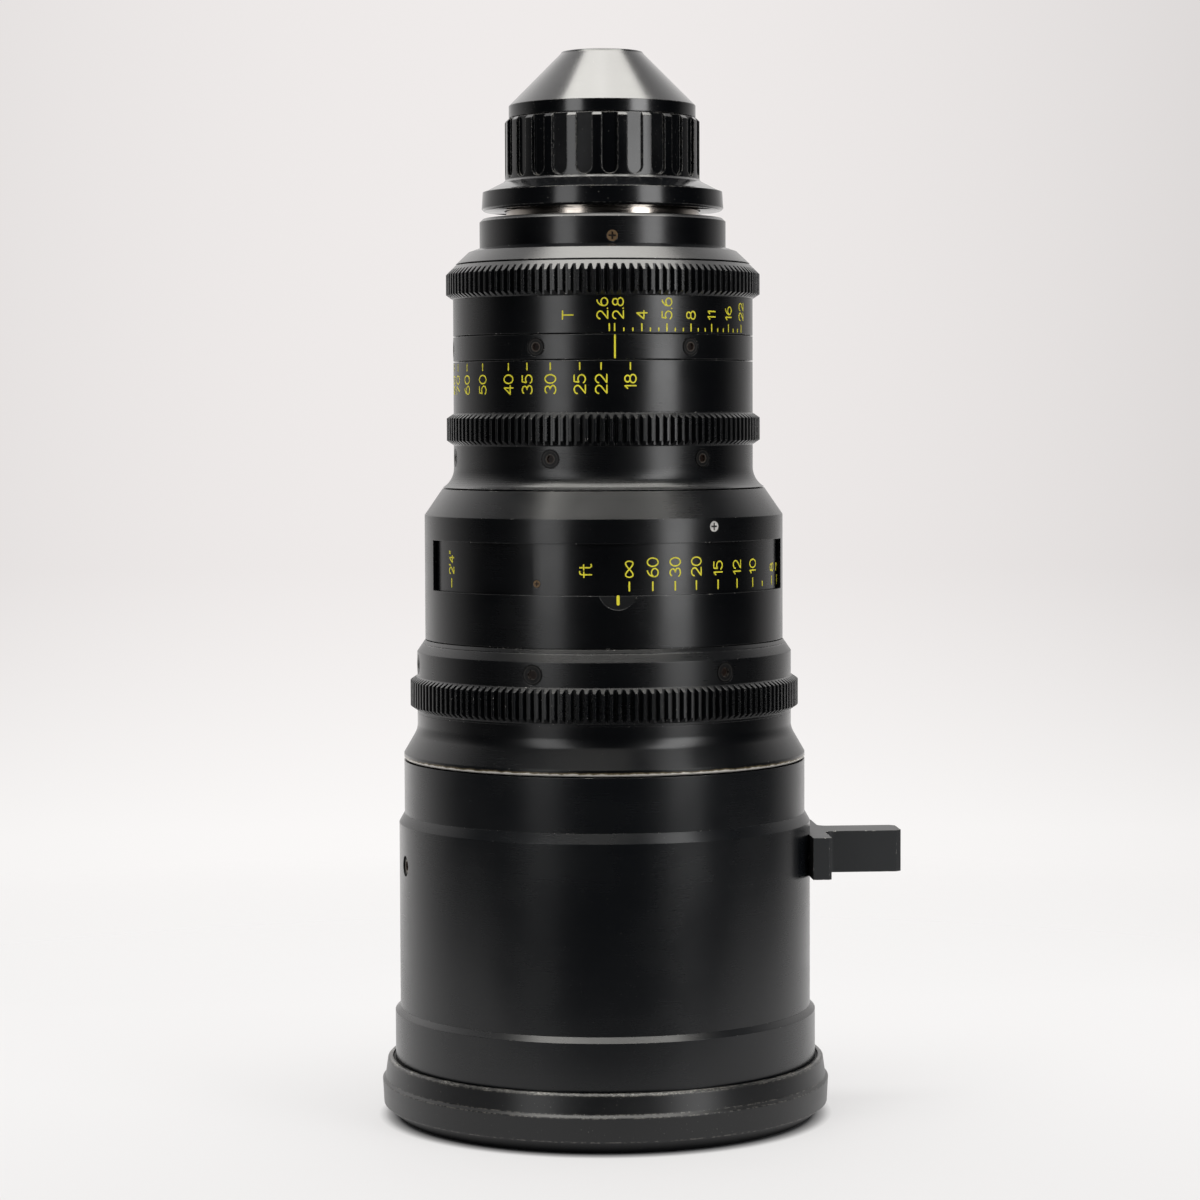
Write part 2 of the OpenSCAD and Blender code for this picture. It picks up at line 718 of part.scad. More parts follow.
module focus_gear() {
    bore_r = hub_sleeve_r + seat_gap;
    color(anodised) difference() {
        lathe(concat([[bore_r, gear_seat_z], [focus_land_r, gear_seat_z]],
                     gear_blank(focus_tip_r, focus_land_r, gear_z, gear_face),
                     [[focus_land_r, focus_chamfer_z], [bore_r, focus_bevel_z(bore_r)]]));
        tooth_gaps(focus_teeth, focus_tip_r, gear_z, focus_chamfer_z);
        at_focus_screws() csk_hole(focus_head_r, focus_shank_r, focus_screw_length);
    }
}

module focus_screws() {
    color("#26272a") at_focus_screws()
        csk_screw(focus_head_r, focus_shank_r, focus_screw_length, focus_shank_r);
}

module focus_cam() {
    margin = asin((focus_pin_r + pin_gap) / cam_bore);
    rate = focus_travel / focus_turn;
    color(inner_black) difference() {
        tube(cam_r, cam_bore, cam_z, drum_seat_z);
        for (i = [0 : focus_pin_count - 1])
            rotate([0, 0, i * full_turn / focus_pin_count])
                helix_channel(cam_bore - overrun, cam_r + overrun,
                              -margin, focus_pin_z + rate * margin,
                              focus_turn + margin, focus_pin_z - focus_travel - rate * margin,
                              2 * (focus_pin_r + pin_gap), focus_cam_steps);
        at_focus_screws() csk_hole(focus_head_r, focus_shank_r, focus_screw_length);
    }
}

module focus_drum() {
    color(anodised) difference() {
        lathe([[drum_bore, drum_seat_z], [cam_r, drum_seat_z], [cam_r, drum_seat_z + drum_seat_h],
               [drum_r, drum_seat_z + drum_seat_h], [drum_r, drum_top_z], [drum_bore, drum_top_z]]);
        on_face(focus_screw_phi, drum_r, drum_screw_z)
            csk_hole(drum_screw_head_r, drum_screw_shank_r, drum_screw_length);
    }
}

module drum_screw() {
    color(brass) on_face(focus_screw_phi, drum_r, drum_screw_z)
        cross_screw(drum_screw_head_r, drum_screw_shank_r, drum_screw_length);
}

// Focus group

carrier_tail = 24;
carrier_z = focus_pin_z - carrier_tail;
carrier_h = 26;
carrier_bore = 45;
focus_glass_r = 44;
focus_ledge_r = 41.5;
focus_ledge_rise = 10.5;
focus_ledge_z = carrier_z + focus_ledge_rise;
focus_ledge_t = 3;
focus_glass_sphere = 160;
focus_glass_t = 8.5;
focus_sleeve_gap = run_gap;

module focus_carrier() {
    ledge_top = focus_ledge_z + focus_ledge_t;
    glass_bore = focus_glass_r + seat_gap;
    color(inner_black) difference() {
        lathe([[glass_bore, carrier_z], [sleeve_wide_bore - focus_sleeve_gap, carrier_z],
               [sleeve_wide_bore - focus_sleeve_gap, carrier_z + carrier_h],
               [glass_bore, carrier_z + carrier_h], [glass_bore, ledge_top],
               [focus_ledge_r, ledge_top], [focus_ledge_r, focus_ledge_z],
               [glass_bore, focus_ledge_z]]);
        at_focus_pins() cylinder(r = focus_pin_r + seat_gap, h = sleeve_wide_r);
    }
}

module at_focus_pins() {
    for (i = [0 : focus_pin_count - 1])
        on_face(i * full_turn / focus_pin_count, carrier_bore, focus_pin_z) children();
}

module focus_pins() {
    color(steel) at_focus_pins() cylinder(r = focus_pin_r, h = cam_r - carrier_bore - pin_gap);
}

module focus_element_front() {
    color(glass_tint) lens(focus_glass_r, focus_ledge_z - focus_glass_t, focus_ledge_z,
                           focus_glass_sphere, 0, focus_glass_r);
}

module focus_element_rear() {
    ledge_top = focus_ledge_z + focus_ledge_t;
    color(glass_tint) lens(focus_glass_r, ledge_top, ledge_top + focus_glass_t,
                           0, focus_glass_sphere, focus_glass_r);
}

// Body shell: the window shows the focus scale

window_sill_h = 16;
window_z = body_z + window_sill_h;
notch_r = 5.9;
notch_drop = 1.6;
notch_depth = 0.6;
body_screw_phi = 32;
body_screw_drop = 2.55;
body_screw_z = cone_z - body_screw_drop;
body_screw_head_r = 1.6;
body_screw_shank_r = 0.9;
body_screw_length = 4;

module body_shell() {
    color(anodised) difference() {
        lathe([[body_bore, body_z], [body_r, body_z], [body_r, cone_z],
               [cone_top_r, cone_z + cone_h], [sleeve_neck_r + seat_gap, cone_z + cone_h],
               [sleeve_neck_r + seat_gap, sleeve_flange_z + sleeve_flange_h + seat_gap],
               [body_bore, sleeve_flange_z + sleeve_flange_h + seat_gap]]);
        sector(body_r + overrun, body_bore - overrun, window_z, window_z + window_h,
               -window_span / 2, window_span / 2);
        on_face(0, body_r - notch_depth, window_z + notch_drop) cylinder(r = notch_r, h = body_r);
        on_face(body_screw_phi, body_r, body_screw_z)
            csk_hole(body_screw_head_r, body_screw_shank_r, body_screw_length);
    }
}

module body_screw() {
    color(steel) on_face(body_screw_phi, body_r, body_screw_z)
        cross_screw(body_screw_head_r, body_screw_shank_r, body_screw_length);
}

// Zoom ring: hub with the scale, gear ring with the flare

hub_bore = sleeve_r + run_gap;
zoom_hub_r = 45.85;
zoom_scale_rise = 23.6;
zoom_scale_z = zoom_z + zoom_scale_rise;
zoom_flare_r = 7.2;
zoom_flare_h = 6.2;
zoom_gear_rise = 13.3;
zoom_gear_z = zoom_z + zoom_gear_rise;
small_bevel = (small_tip_r - ring_r) * gear_bevel_share;
zoom_screw_count = 6;
zoom_screw_phi = -24.4;
zoom_screw_rise = 9.4;
zoom_screw_z = zoom_z + zoom_screw_rise;
zoom_head_r = 2.9;
zoom_shank_r = 1.3;
zoom_screw_length = 2.9;
zoom_key_length = ring_r - guide_r - small_gap - key_cover;

module at_zoom_screws() {
    for (i = [0 : zoom_screw_count - 1])
        on_face(zoom_screw_phi + i * full_turn / zoom_screw_count, ring_r, zoom_screw_z) children();
}

module at_zoom_keys() {
    for (i = [0 : zoom_key_count - 1])
        on_face(zoom_key_phi + i * full_turn / zoom_key_count, guide_r + small_gap, zoom_key_z) children();
}

module zoom_hub() {
    color(anodised) difference() {
        lathe([[hub_bore, zoom_z], [zoom_hub_r, zoom_z], [zoom_hub_r, zoom_scale_z],
               [ring_r, zoom_scale_z], [ring_r, zoom_z + zoom_h], [hub_bore, zoom_z + zoom_h]]);
        at_zoom_screws() csk_hole(zoom_head_r, zoom_shank_r, zoom_screw_length);
        at_zoom_keys() cylinder(r = key_r + seat_gap, h = zoom_key_length + seat_gap);
    }
}

module zoom_gear() {
    bore_r = zoom_hub_r + seat_gap;
    flare_a = asin(zoom_flare_h / zoom_flare_r);
    color(anodised) difference() {
        lathe(concat([[bore_r, zoom_z]],
                     arc(ring_r + zoom_flare_r, zoom_z + zoom_flare_h, zoom_flare_r,
                         half_turn + flare_a, half_turn, flare_steps),
                     gear_blank(small_tip_r, ring_r, zoom_gear_z, small_gear_face),
                     [[ring_r, zoom_scale_z], [bore_r, zoom_scale_z]]));
        tooth_gaps(small_teeth, small_tip_r, zoom_gear_z, zoom_scale_z);
        at_zoom_screws() csk_hole(zoom_head_r, zoom_shank_r, zoom_screw_length);
    }
}

module zoom_screws() {
    color("#26272a") at_zoom_screws() csk_screw(zoom_head_r, zoom_shank_r, zoom_screw_length, zoom_shank_r);
}

module zoom_keys() {
    color(steel) at_zoom_keys() cylinder(r = key_r, h = zoom_key_length);
}

// Guide tube, cam drum and the two carriers that they move

guide_flange_h = 3.7;
drum_cam_z = guide_z + guide_flange_h + small_gap;
variator_setback = 3;
variator_z = guide_z + variator_setback;
variator_h = 20;
compensator_setback = 63;
compensator_z = guide_z + compensator_setback;
compensator_h = 14;
compensator_glass_t = 9.8;
zoom_turn = zoom_turn_wide + zoom_turn_long;
variator_rate = variator_travel / zoom_turn;
compensator_rate = compensator_travel / zoom_turn;
cam_steps = 16;
carrier_r = guide_bore - run_gap;
variator_glass_r = 31;
variator_sphere = -70;
compensator_glass_r = 30;
compensator_sphere = 90;
lens_seat = 2.5;
cam_pin_seat = 2.6;
cam_pin_root_r = guide_bore - cam_pin_seat;

module straight_slots(phi, z_mid, rate) {
    low = z_mid - rate * zoom_turn_wide - pin_r - pin_gap;
    high = z_mid + rate * zoom_turn_long + pin_r + pin_gap;
    for (i = [0 : cam_count - 1])
        rotate([0, 0, phi + i * full_turn / cam_count])
            translate([-pin_r - pin_gap, -guide_r - overrun, low])
                cube([2 * (pin_r + pin_gap), guide_r - guide_bore + 2 * overrun, high - low]);
}

module cam_slots(phi, z_mid, rate) {
    drum_r_in = guide_r + run_gap;
    margin = asin((pin_r + pin_gap) / drum_r_in);
    slope = rate * half_turn / (PI * drum_r_in);
    h = 2 * (pin_r + pin_gap) * sqrt(1 + slope * slope);
    for (i = [0 : cam_count - 1])
        rotate([0, 0, phi + i * full_turn / cam_count])
            helix_channel(drum_r_in - overrun, sleeve_bore + overrun,
                          -zoom_turn_long - margin, z_mid + rate * (zoom_turn_long + margin),
                          zoom_turn_wide + margin, z_mid - rate * (zoom_turn_wide + margin),
                          h, cam_steps);
}

module guide_tube() {
    color(inner_black) difference() {
        lathe([[guide_bore, guide_z], [sleeve_bore - seat_gap, guide_z],
               [sleeve_bore - seat_gap, guide_z + guide_flange_h], [guide_r, guide_z + guide_flange_h],
               [guide_r, iris_base_z], [guide_bore, iris_base_z]]);
        straight_slots(variator_phi, variator_z + variator_h / 2, variator_rate);
        straight_slots(compensator_phi, compensator_z + compensator_h / 2, compensator_rate);
    }
}

module cam_drum() {
    color("#6f6a58") difference() {
        tube(sleeve_bore - run_gap, guide_r + run_gap, drum_cam_z, iris_base_z - small_gap);
        cam_slots(variator_phi, variator_z + variator_h / 2, variator_rate);
        cam_slots(compensator_phi, compensator_z + compensator_h / 2, compensator_rate);
        at_zoom_keys() cylinder(r = key_r + seat_gap, h = zoom_key_length);
    }
}

module at_cam_pins(phi, z_mid) {
    for (i = [0 : cam_count - 1])
        on_face(phi + i * full_turn / cam_count, cam_pin_root_r, z_mid) children();
}

module cam_pins(phi, z_mid) {
    color(steel) at_cam_pins(phi, z_mid)
        cylinder(r = pin_r, h = sleeve_bore - run_gap - small_gap - cam_pin_root_r);
}

module carrier(z, h, glass_r, phi) {
    ledge_z = z + h - lens_seat;
    color(inner_black) difference() {
        lathe([[glass_r + seat_gap, z], [carrier_r, z], [carrier_r, z + h],
               [glass_r - lens_seat, z + h], [glass_r - lens_seat, ledge_z],
               [glass_r + seat_gap, ledge_z]]);
        at_cam_pins(phi, z + h / 2) cylinder(r = pin_r + seat_gap, h = guide_r);
    }
}

module variator_carrier() {
    carrier(variator_z, variator_h, variator_glass_r, variator_phi);
}

module variator_element() {
    top = variator_z + variator_h - lens_seat;
    color(glass_tint) lens(variator_glass_r, top - variator_h / 2, top,
                           variator_sphere, 0, variator_glass_r - lens_seat);
}

module variator_pins() {
    cam_pins(variator_phi, variator_z + variator_h / 2);
}

module compensator_carrier() {
    carrier(compensator_z, compensator_h, compensator_glass_r, compensator_phi);
}

module compensator_element() {
    top = compensator_z + compensator_h - lens_seat;
    color(glass_tint) lens(compensator_glass_r, top - compensator_glass_t, top,
                           compensator_sphere, 0, compensator_glass_r);
}

module compensator_pins() {
    cam_pins(compensator_phi, compensator_z + compensator_h / 2);
}

// Index ring

index_screw_count = 6;
index_screw_phi = -30;
index_head_r = 2.8;
index_shank_r = 1.3;
index_screw_length = 5;

module at_index_screws() {
    for (i = [0 : index_screw_count - 1])
        on_face(index_screw_phi + i * full_turn / index_screw_count, ring_r, index_z + index_h / 2)
            children();
}

module index_ring() {
    color(anodised) difference() {
        tube(ring_r, sleeve_r + seat_gap, index_z, index_z + index_h);
        at_index_screws() csk_hole(index_head_r, index_shank_r, index_screw_length);
    }
}

module index_screws() {
    color("#26272a") at_index_screws()
        csk_screw(index_head_r, index_shank_r, index_screw_length, index_shank_r);
}

// Iris ring, gear and diaphragm

iris_gear_rise = 11.4;
iris_crown_h = 3;              // bevel over the iris teeth, at 45 degrees
iris_gear_z = iris_z + iris_gear_rise;
iris_key_root_r = 38;
iris_key_length = ring_r - iris_key_root_r - key_cover;
iris_clear_r = 27.5;
blade_out_r = 36.5;
blade_in_r = 28;
blade_sweep = 76;
blade_tab_r = 40.3;
blade_tab_span = 7;
pivot_r = 0.9;
pivot_ring_r = 38.8;
pivot_depth = 2;

module at_iris_keys() {
    for (i = [0 : iris_key_count - 1])
        on_face(iris_key_phi + i * full_turn / iris_key_count, iris_key_root_r, iris_key_z) children();
}

module iris_ring() {
    color(anodised) difference() {
        lathe([[hub_bore, iris_z], [ring_r, iris_z], [ring_r, iris_gear_z],
               [zoom_hub_r, iris_gear_z], [zoom_hub_r, iris_z + iris_h], [hub_bore, iris_z + iris_h]]);
        at_iris_keys() cylinder(r = iris_key_r + seat_gap, h = iris_key_length + seat_gap);
    }
}

module iris_gear() {
    bore_r = zoom_hub_r + seat_gap;
    top = iris_z + iris_h;
    color(anodised) difference() {
        lathe([[bore_r, iris_gear_z], [ring_r, iris_gear_z], [small_tip_r, iris_gear_z + small_bevel],
               [small_tip_r, top - iris_crown_h], [small_tip_r - iris_crown_h, top], [bore_r, top]]);
        tooth_gaps(small_teeth, small_tip_r, iris_gear_z, top + overrun);
    }
}

module iris_keys() {
    color(steel) at_iris_keys() cylinder(r = iris_key_r, h = iris_key_length);
}

module iris_base() {
    pivot_z = iris_base_z + iris_base_t - pivot_depth;
    color(inner_black) difference() {
        tube(sleeve_bore - seat_gap, iris_clear_r, iris_base_z, iris_base_z + iris_base_t);
        for (i = [0 : blade_count - 1])
            on_face(i * full_turn / blade_count, pivot_ring_r, pivot_z) rotate([-quarter_turn, 0, 0])
                cylinder(r = pivot_r + seat_gap, h = pivot_depth + overrun);
    }
}

// Each blade lies one layer above the last, with its pivot pin in the base
module iris_blades() {
    pin_z = iris_base_z + iris_base_t - pivot_depth + seat_gap;
    color("#3a3b3d") for (i = [0 : blade_count - 1]) {
        z = blade_z + i * blade_pitch;
        rotate([0, 0, i * full_turn / blade_count]) {
            sector(blade_out_r, blade_in_r, z, z + blade_t, -blade_tab_span / 2, blade_sweep);
            sector(blade_tab_r, blade_in_r, z, z + blade_t, -blade_tab_span / 2, blade_tab_span / 2);
            on_face(0, pivot_ring_r, pin_z) rotate([-quarter_turn, 0, 0])
                cylinder(r = pivot_r, h = z - pin_z + blade_t / 2);
        }
    }
}

module iris_actuator() {
    color(inner_black) difference() {
        tube(sleeve_bore - run_gap, iris_clear_r, actuator_z, actuator_z + actuator_t);
        at_iris_keys() cylinder(r = iris_key_r + seat_gap, h = iris_key_length);
    }
}

// Rear cover ring and rear housing

cover_lip_r = 42.4;
cover_lip_h = 1.2;
cover_step = 0.95;
cover_side_r = ring_r - cover_step;
housing_chamfer = 1;
housing_bore = 33;
plate_t = 4;
plate_z = shim_z - plate_t;
mount_bore = mount_barrel_r + seat_gap;
housing_screw_rise = 2.2;
housing_screw_z = housing_z + housing_screw_rise;
housing_screw_head_r = 1.7;
housing_screw_shank_r = 0.9;
housing_screw_length = 4;

module rear_cover_ring() {
    color(anodised) lathe([
        [sleeve_end_r + seat_gap, cover_z], [cover_side_r, cover_z],
        [cover_lip_r, housing_z - cover_lip_h], [housing_r + seat_gap, housing_z],
        [housing_r + seat_gap, sleeve_end_z + seat_gap],
        [sleeve_end_r + seat_gap, sleeve_end_z + seat_gap]]);
}

module rear_housing() {
    color(anodised) difference() {
        lathe([[housing_bore, spigot_z], [sleeve_bore - seat_gap, spigot_z],
               [sleeve_bore - seat_gap, sleeve_end_z], [housing_r, sleeve_end_z],
               [housing_r, shim_z - housing_chamfer], [housing_r - housing_chamfer, shim_z],
               [mount_bore, shim_z], [mount_bore, plate_z], [housing_bore, plate_z]]);
        on_face(0, housing_r, housing_screw_z)
            csk_hole(housing_screw_head_r, housing_screw_shank_r, housing_screw_length);
        at_mount_screws() csk_hole(mount_head_r, mount_shank_r, mount_screw_length);
    }
}

module housing_screw() {
    color(brass) on_face(0, housing_r, housing_screw_z)
        cross_screw(housing_screw_head_r, housing_screw_shank_r, housing_screw_length);
}

// Relay cell

relay_setback = 0.8;
relay_z = spigot_z + relay_setback;
relay_ledge_rise = 7;
relay_ledge_z = relay_z + relay_ledge_rise;
relay_ledge_t = 2;
relay_front_r = 28;
relay_rear_r = 27;
relay_ledge_r = 25.5;
relay_front_sphere = 60;
relay_rear_sphere = 55;
relay_front_t = 6.5;
relay_rear_t = 6;
barrel_flange_t = 2;
barrel_flange_z = plate_z - barrel_flange_t;

module relay_cell() {
    top = barrel_flange_z - seat_gap;
    ledge_top = relay_ledge_z + relay_ledge_t;
    color(inner_black) lathe([
        [relay_front_r + seat_gap, relay_z], [housing_bore - seat_gap, relay_z],
        [housing_bore - seat_gap, top], [relay_rear_r + seat_gap, top],
        [relay_rear_r + seat_gap, ledge_top], [relay_ledge_r, ledge_top],
        [relay_ledge_r, relay_ledge_z], [relay_front_r + seat_gap, relay_ledge_z]]);
}

module relay_element_front() {
    color(glass_tint) lens(relay_front_r, relay_ledge_z - relay_front_t, relay_ledge_z,
                           0, -relay_front_sphere, relay_ledge_r);
}

module relay_element_rear() {
    ledge_top = relay_ledge_z + relay_ledge_t;
    color(glass_tint) lens(relay_rear_r, ledge_top, ledge_top + relay_rear_t,
                           -relay_rear_sphere, 0, relay_ledge_r);
}

// Mount

mount_base_h = 3.7;
lug_h = 2.4;
lug_count = 4;
lug_z = mount_z + mount_base_h;
mount_screw_ring = 28.75;
mount_screw_count = 4;
mount_head_r = 1.5;
mount_shank_r = 0.8;
mount_screw_length = 8;
barrel_bore_r = 24.2;
barrel_flange_r = 31;
rear_glass_ledge = 2.2;
rear_glass_t = 8;
rear_glass_sphere = 48;
mount_barrel_top = shim_z + mount_barrel_h;

module at_mount_screws() {
    for (i = [0 : mount_screw_count - 1])
        rotate([0, 0, i * full_turn / mount_screw_count])
            translate([mount_screw_ring, 0, lug_z + lug_h]) children();
}

module mount_shim() {
    color(steel) difference() {
        tube(mount_r, mount_bore, shim_z, mount_z);
        at_mount_screws() csk_hole(mount_head_r, mount_shank_r, mount_screw_length);
    }
}

module mount_ring() {
    color(steel) difference() {
        union() {
            tube(mount_r, mount_bore, mount_z, lug_z + lug_h);
            for (i = [0 : lug_count - 1])
                let (mid = (2 * i + 1) * half_turn / lug_count)
                    sector(lug_r, mount_r - overrun, lug_z, lug_z + lug_h,
                           mid - lug_span / 2, mid + lug_span / 2);
        }
        at_mount_screws() csk_hole(mount_head_r, mount_shank_r, mount_screw_length);
    }
}

module mount_screws() {
    color("#8f9296") at_mount_screws()
        csk_screw(mount_head_r, mount_shank_r, mount_screw_length, mount_shank_r / 2);
}

module mount_barrel() {
    glass_z = mount_barrel_top - rear_glass_ledge - rear_glass_t;
    ledge_r = barrel_bore_r - rear_glass_ledge;
    color(anodised) lathe([
        [barrel_bore_r, barrel_flange_z], [barrel_flange_r, barrel_flange_z],
        [barrel_flange_r, plate_z - seat_gap], [mount_barrel_r, plate_z - seat_gap],
        [mount_barrel_r, mount_barrel_top], [barrel_bore_r, mount_barrel_top],
        [barrel_bore_r, glass_z], [ledge_r, glass_z], [ledge_r, glass_z - rear_glass_ledge],
        [barrel_bore_r, glass_z - rear_glass_ledge]]);
}

module rear_element() {
    glass_z = mount_barrel_top - rear_glass_ledge - rear_glass_t;
    color(glass_tint) lens(barrel_bore_r - seat_gap, glass_z, glass_z + rear_glass_t,
                           0, rear_glass_sphere, barrel_bore_r);
}

// Rear cap: plug, and the locking ring that turns on it

cap_ring_rise = 2.3;
cap_ring_z = mount_z + cap_ring_rise;
cap_flange_h = 5.9;
tab_h = 1.3;
tab_gap = 0.5;
lug_clear_phi = 1.5;
cap_cavity_r = lug_r + tab_gap;
plug_r = 28.5;
plug_gap = 0.4;
plug_bore = mount_barrel_r + plug_gap;
plug_flange_r = 34;
plug_flange_t = 1.4;
plug_flange_z = lug_z + lug_h + small_gap;
grip_rise = 10;
grip_z = cap_ring_z + grip_rise;
cap_ring_h = 28.9;
grip_top = cap_ring_z + cap_ring_h;
flute_z = grip_z + flute_w / 2;
band_h = 3.8;
band_z = grip_top + small_gap;
cone_start_z = band_z + band_h;
cap_top_edge = 0.8;
cap_top_z = cone_start_z + band_r - cap_top_r;
plug_wall = 2.4;
ring_edge = 0.7;
grip_bevel = 1;

module rear_cap() {
    roof_z = cap_top_z - plug_wall;
    inset = plug_wall * (sqrt(2) - 1);
    color(glossy) lathe([
        [plug_bore, plug_flange_z], [plug_flange_r, plug_flange_z],
        [plug_flange_r, plug_flange_z + plug_flange_t], [plug_r, plug_flange_z + plug_flange_t],
        [plug_r, band_z], [band_r, band_z], [band_r, cone_start_z],
        [cap_top_r + cap_top_edge, cap_top_z - cap_top_edge],
        [cap_top_r + cap_top_edge / 2, cap_top_z - cap_top_edge / 4],
        [cap_top_r - cap_top_edge, cap_top_z], [0, cap_top_z], [0, roof_z],
        [cap_top_r - inset, roof_z], [plug_bore, cone_start_z - inset]]);
}

module rear_cap_ring() {
    cavity_z = cap_ring_z + tab_h;
    cavity_top = plug_flange_z + plug_flange_t + small_gap;
    flange_top = cap_ring_z + cap_flange_h;
    color(glossy) difference() {
        lathe([[mount_r + tab_gap, cap_ring_z], [cap_flange_r - ring_edge, cap_ring_z],
               [cap_flange_r, cap_ring_z + ring_edge], [cap_flange_r - ring_edge / 2, flange_top],
               [cap_flange_r - 2 * ring_edge, flange_top + ring_edge / 2],
               [grip_r + ring_edge, grip_z - 3 * ring_edge / 2], [grip_r, grip_z - ring_edge / 2],
               [grip_r, grip_top - grip_bevel], [grip_r - grip_bevel, grip_top],
               [plug_r + run_gap, grip_top], [plug_r + run_gap, cavity_top],
               [cap_cavity_r, cavity_top], [cap_cavity_r, cavity_z], [mount_r + tab_gap, cavity_z]]);
        for (i = [0 : lug_count - 1])
            let (mid = (2 * i + 1) * half_turn / lug_count)
                sector(cap_cavity_r + small_gap, mount_r - overrun, cap_ring_z - overrun, cavity_z + tab_h,
                       mid - lug_span / 2 - lug_clear_phi, mid + lug_span / 2 + lug_clear_phi);
        for (i = [0 : flute_count - 1])
            on_face(i * full_turn / flute_count, grip_r - flute_depth, flute_z)
                linear_extrude(flute_depth + overrun) {
                    circle(r = flute_w / 2);
                    translate([-flute_w / 2, 0]) square([flute_w, grip_top]);
                }
    }
}

front_cap();
cap_liner();
front_ring();
front_retainer();
front_element();
front_barrel();
front_cell();
inner_element();
support_foot();
foot_screws();
barrel_lock_screw();
barrel_collar();
collar_screws();
main_sleeve();
focus_hub();
focus_gear();
focus_screws();
focus_cam();
focus_drum();
drum_screw();
focus_carrier();
focus_element_front();
focus_element_rear();
focus_pins();
body_shell();
body_screw();
zoom_hub();
zoom_gear();
zoom_screws();
zoom_keys();
guide_tube();
cam_drum();
variator_carrier();
variator_element();
variator_pins();
compensator_carrier();
compensator_element();
compensator_pins();
index_ring();
index_screws();
iris_ring();
iris_gear();
iris_keys();
iris_base();
iris_blades();
iris_actuator();
rear_cover_ring();
rear_housing();
housing_screw();
relay_cell();
relay_element_front();
relay_element_rear();
mount_shim();
mount_ring();
mount_screws();
mount_barrel();
rear_element();
rear_cap();
rear_cap_ring();
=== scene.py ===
"""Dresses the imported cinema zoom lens: its finishes, dial marks, floor, lamps and camera."""

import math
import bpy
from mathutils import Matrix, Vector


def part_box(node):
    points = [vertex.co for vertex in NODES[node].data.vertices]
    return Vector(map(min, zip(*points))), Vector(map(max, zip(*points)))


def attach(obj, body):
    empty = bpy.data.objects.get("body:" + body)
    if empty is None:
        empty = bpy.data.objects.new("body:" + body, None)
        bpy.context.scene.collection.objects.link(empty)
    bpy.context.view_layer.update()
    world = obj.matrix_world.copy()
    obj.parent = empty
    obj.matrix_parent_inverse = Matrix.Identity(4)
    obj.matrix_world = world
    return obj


bl_info = {
    "name": "Cinema zoom lens finishes",
    "version": (1, 0, 0),
    "blender": (4, 5, 0),
    "location": "3D View > Sidebar > Zoom Lens",
    "description": "Finishes, dial marks and studio for a cinema zoom lens",
    "category": "Object",
}

from functools import partial

import bpy
import numpy as np
from bpy.props import FloatProperty, FloatVectorProperty, IntProperty, PointerProperty
from mathutils import Matrix, Vector

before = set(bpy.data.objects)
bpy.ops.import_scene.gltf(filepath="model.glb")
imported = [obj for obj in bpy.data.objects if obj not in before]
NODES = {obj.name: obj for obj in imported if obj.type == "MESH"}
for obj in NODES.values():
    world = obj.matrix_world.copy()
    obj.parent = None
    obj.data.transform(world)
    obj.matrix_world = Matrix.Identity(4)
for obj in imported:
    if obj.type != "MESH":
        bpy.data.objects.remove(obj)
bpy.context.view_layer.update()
MM = 0.001


def to_linear(code):
    """Linear red, green and blue of an sRGB hex code such as "#1a2b3c"."""
    values = (int(code[i:i + 2], 16) / 255 for i in (1, 3, 5))
    return tuple(v / 12.92 if v <= 0.04045 else ((v + 0.055) / 1.055) ** 2.4 for v in values)


# Settings

def colour_property(label, what, code):
    return FloatVectorProperty(name=label, description=what, subtype="COLOR", size=3,
                               min=0, max=1, default=to_linear(code))


def length_property(label, what, millimetres):
    return FloatProperty(name=label, description=what, subtype="DISTANCE", unit="LENGTH",
                         default=millimetres * MM, precision=5)


def angle_property(label, what, degrees):
    return FloatProperty(name=label, description=what, subtype="ANGLE",
                         default=math.radians(degrees))


def radiance_property(label, what, radiance):
    return FloatProperty(name=label, description="Radiance of " + what, default=radiance)


class LensDials(bpy.types.PropertyGroup):
    """Sizes of the painted numerals and lines."""

    zoom_text: length_property("Zoom numeral height", "Height of the zoom numerals", 3.45)
    iris_text: length_property("Iris numeral height", "Height of the iris numerals", 3.25)
    focus_text: length_property("Focus numeral height", "Height of the focus numerals", 3.4)
    stroke: length_property("Stroke width", "Width of the numerals' painted stroke", 0.42)
    tick: length_property("Line width", "Width of the scale lines", 0.42)
    lift: length_property("Paint height", "How far the paint stands above the metal", 0.03)
    drum_gap: length_property("Drum depth", "Depth of the focus drum's face below the body", 1.3)
    notch: length_property("Notch depth", "Depth of the notch below the focus window", 0.6)


class LensFinishes(bpy.types.PropertyGroup):
    """Colours of the lens's finishes."""

    anodised: colour_property("Anodised black", "Black of the rings", "#040507")
    barrel: colour_property("Barrel black", "Bluish black of the front barrel", "#07090c")
    inner: colour_property("Inner black", "Matt black of the parts inside", "#121315")
    foot: colour_property("Foot grey", "Dark grey coat of the foot", "#1a1c1e")
    cap: colour_property("Cap black", "Black of the caps", "#060709")
    mark: colour_property("Mark yellow", "Yellow paint of the marks", "#dcd22c")
    bare: colour_property("Bare metal", "Worn aluminium at the edges", "#cfccc6")
    tarnish: colour_property("Tarnish", "Brown of the half worn skin", "#6e6248")
    steel: colour_property("Mount steel", "Steel of the mount", "#b9b1a9")
    brass: colour_property("Brass", "Tarnished brass of the small screws", "#6e573c")
    felt: colour_property("Liner black", "Flock lining of the front cap", "#08080a")
    glass: colour_property("Glass tint", "Tint of the coated glass", "#dfe9ea")


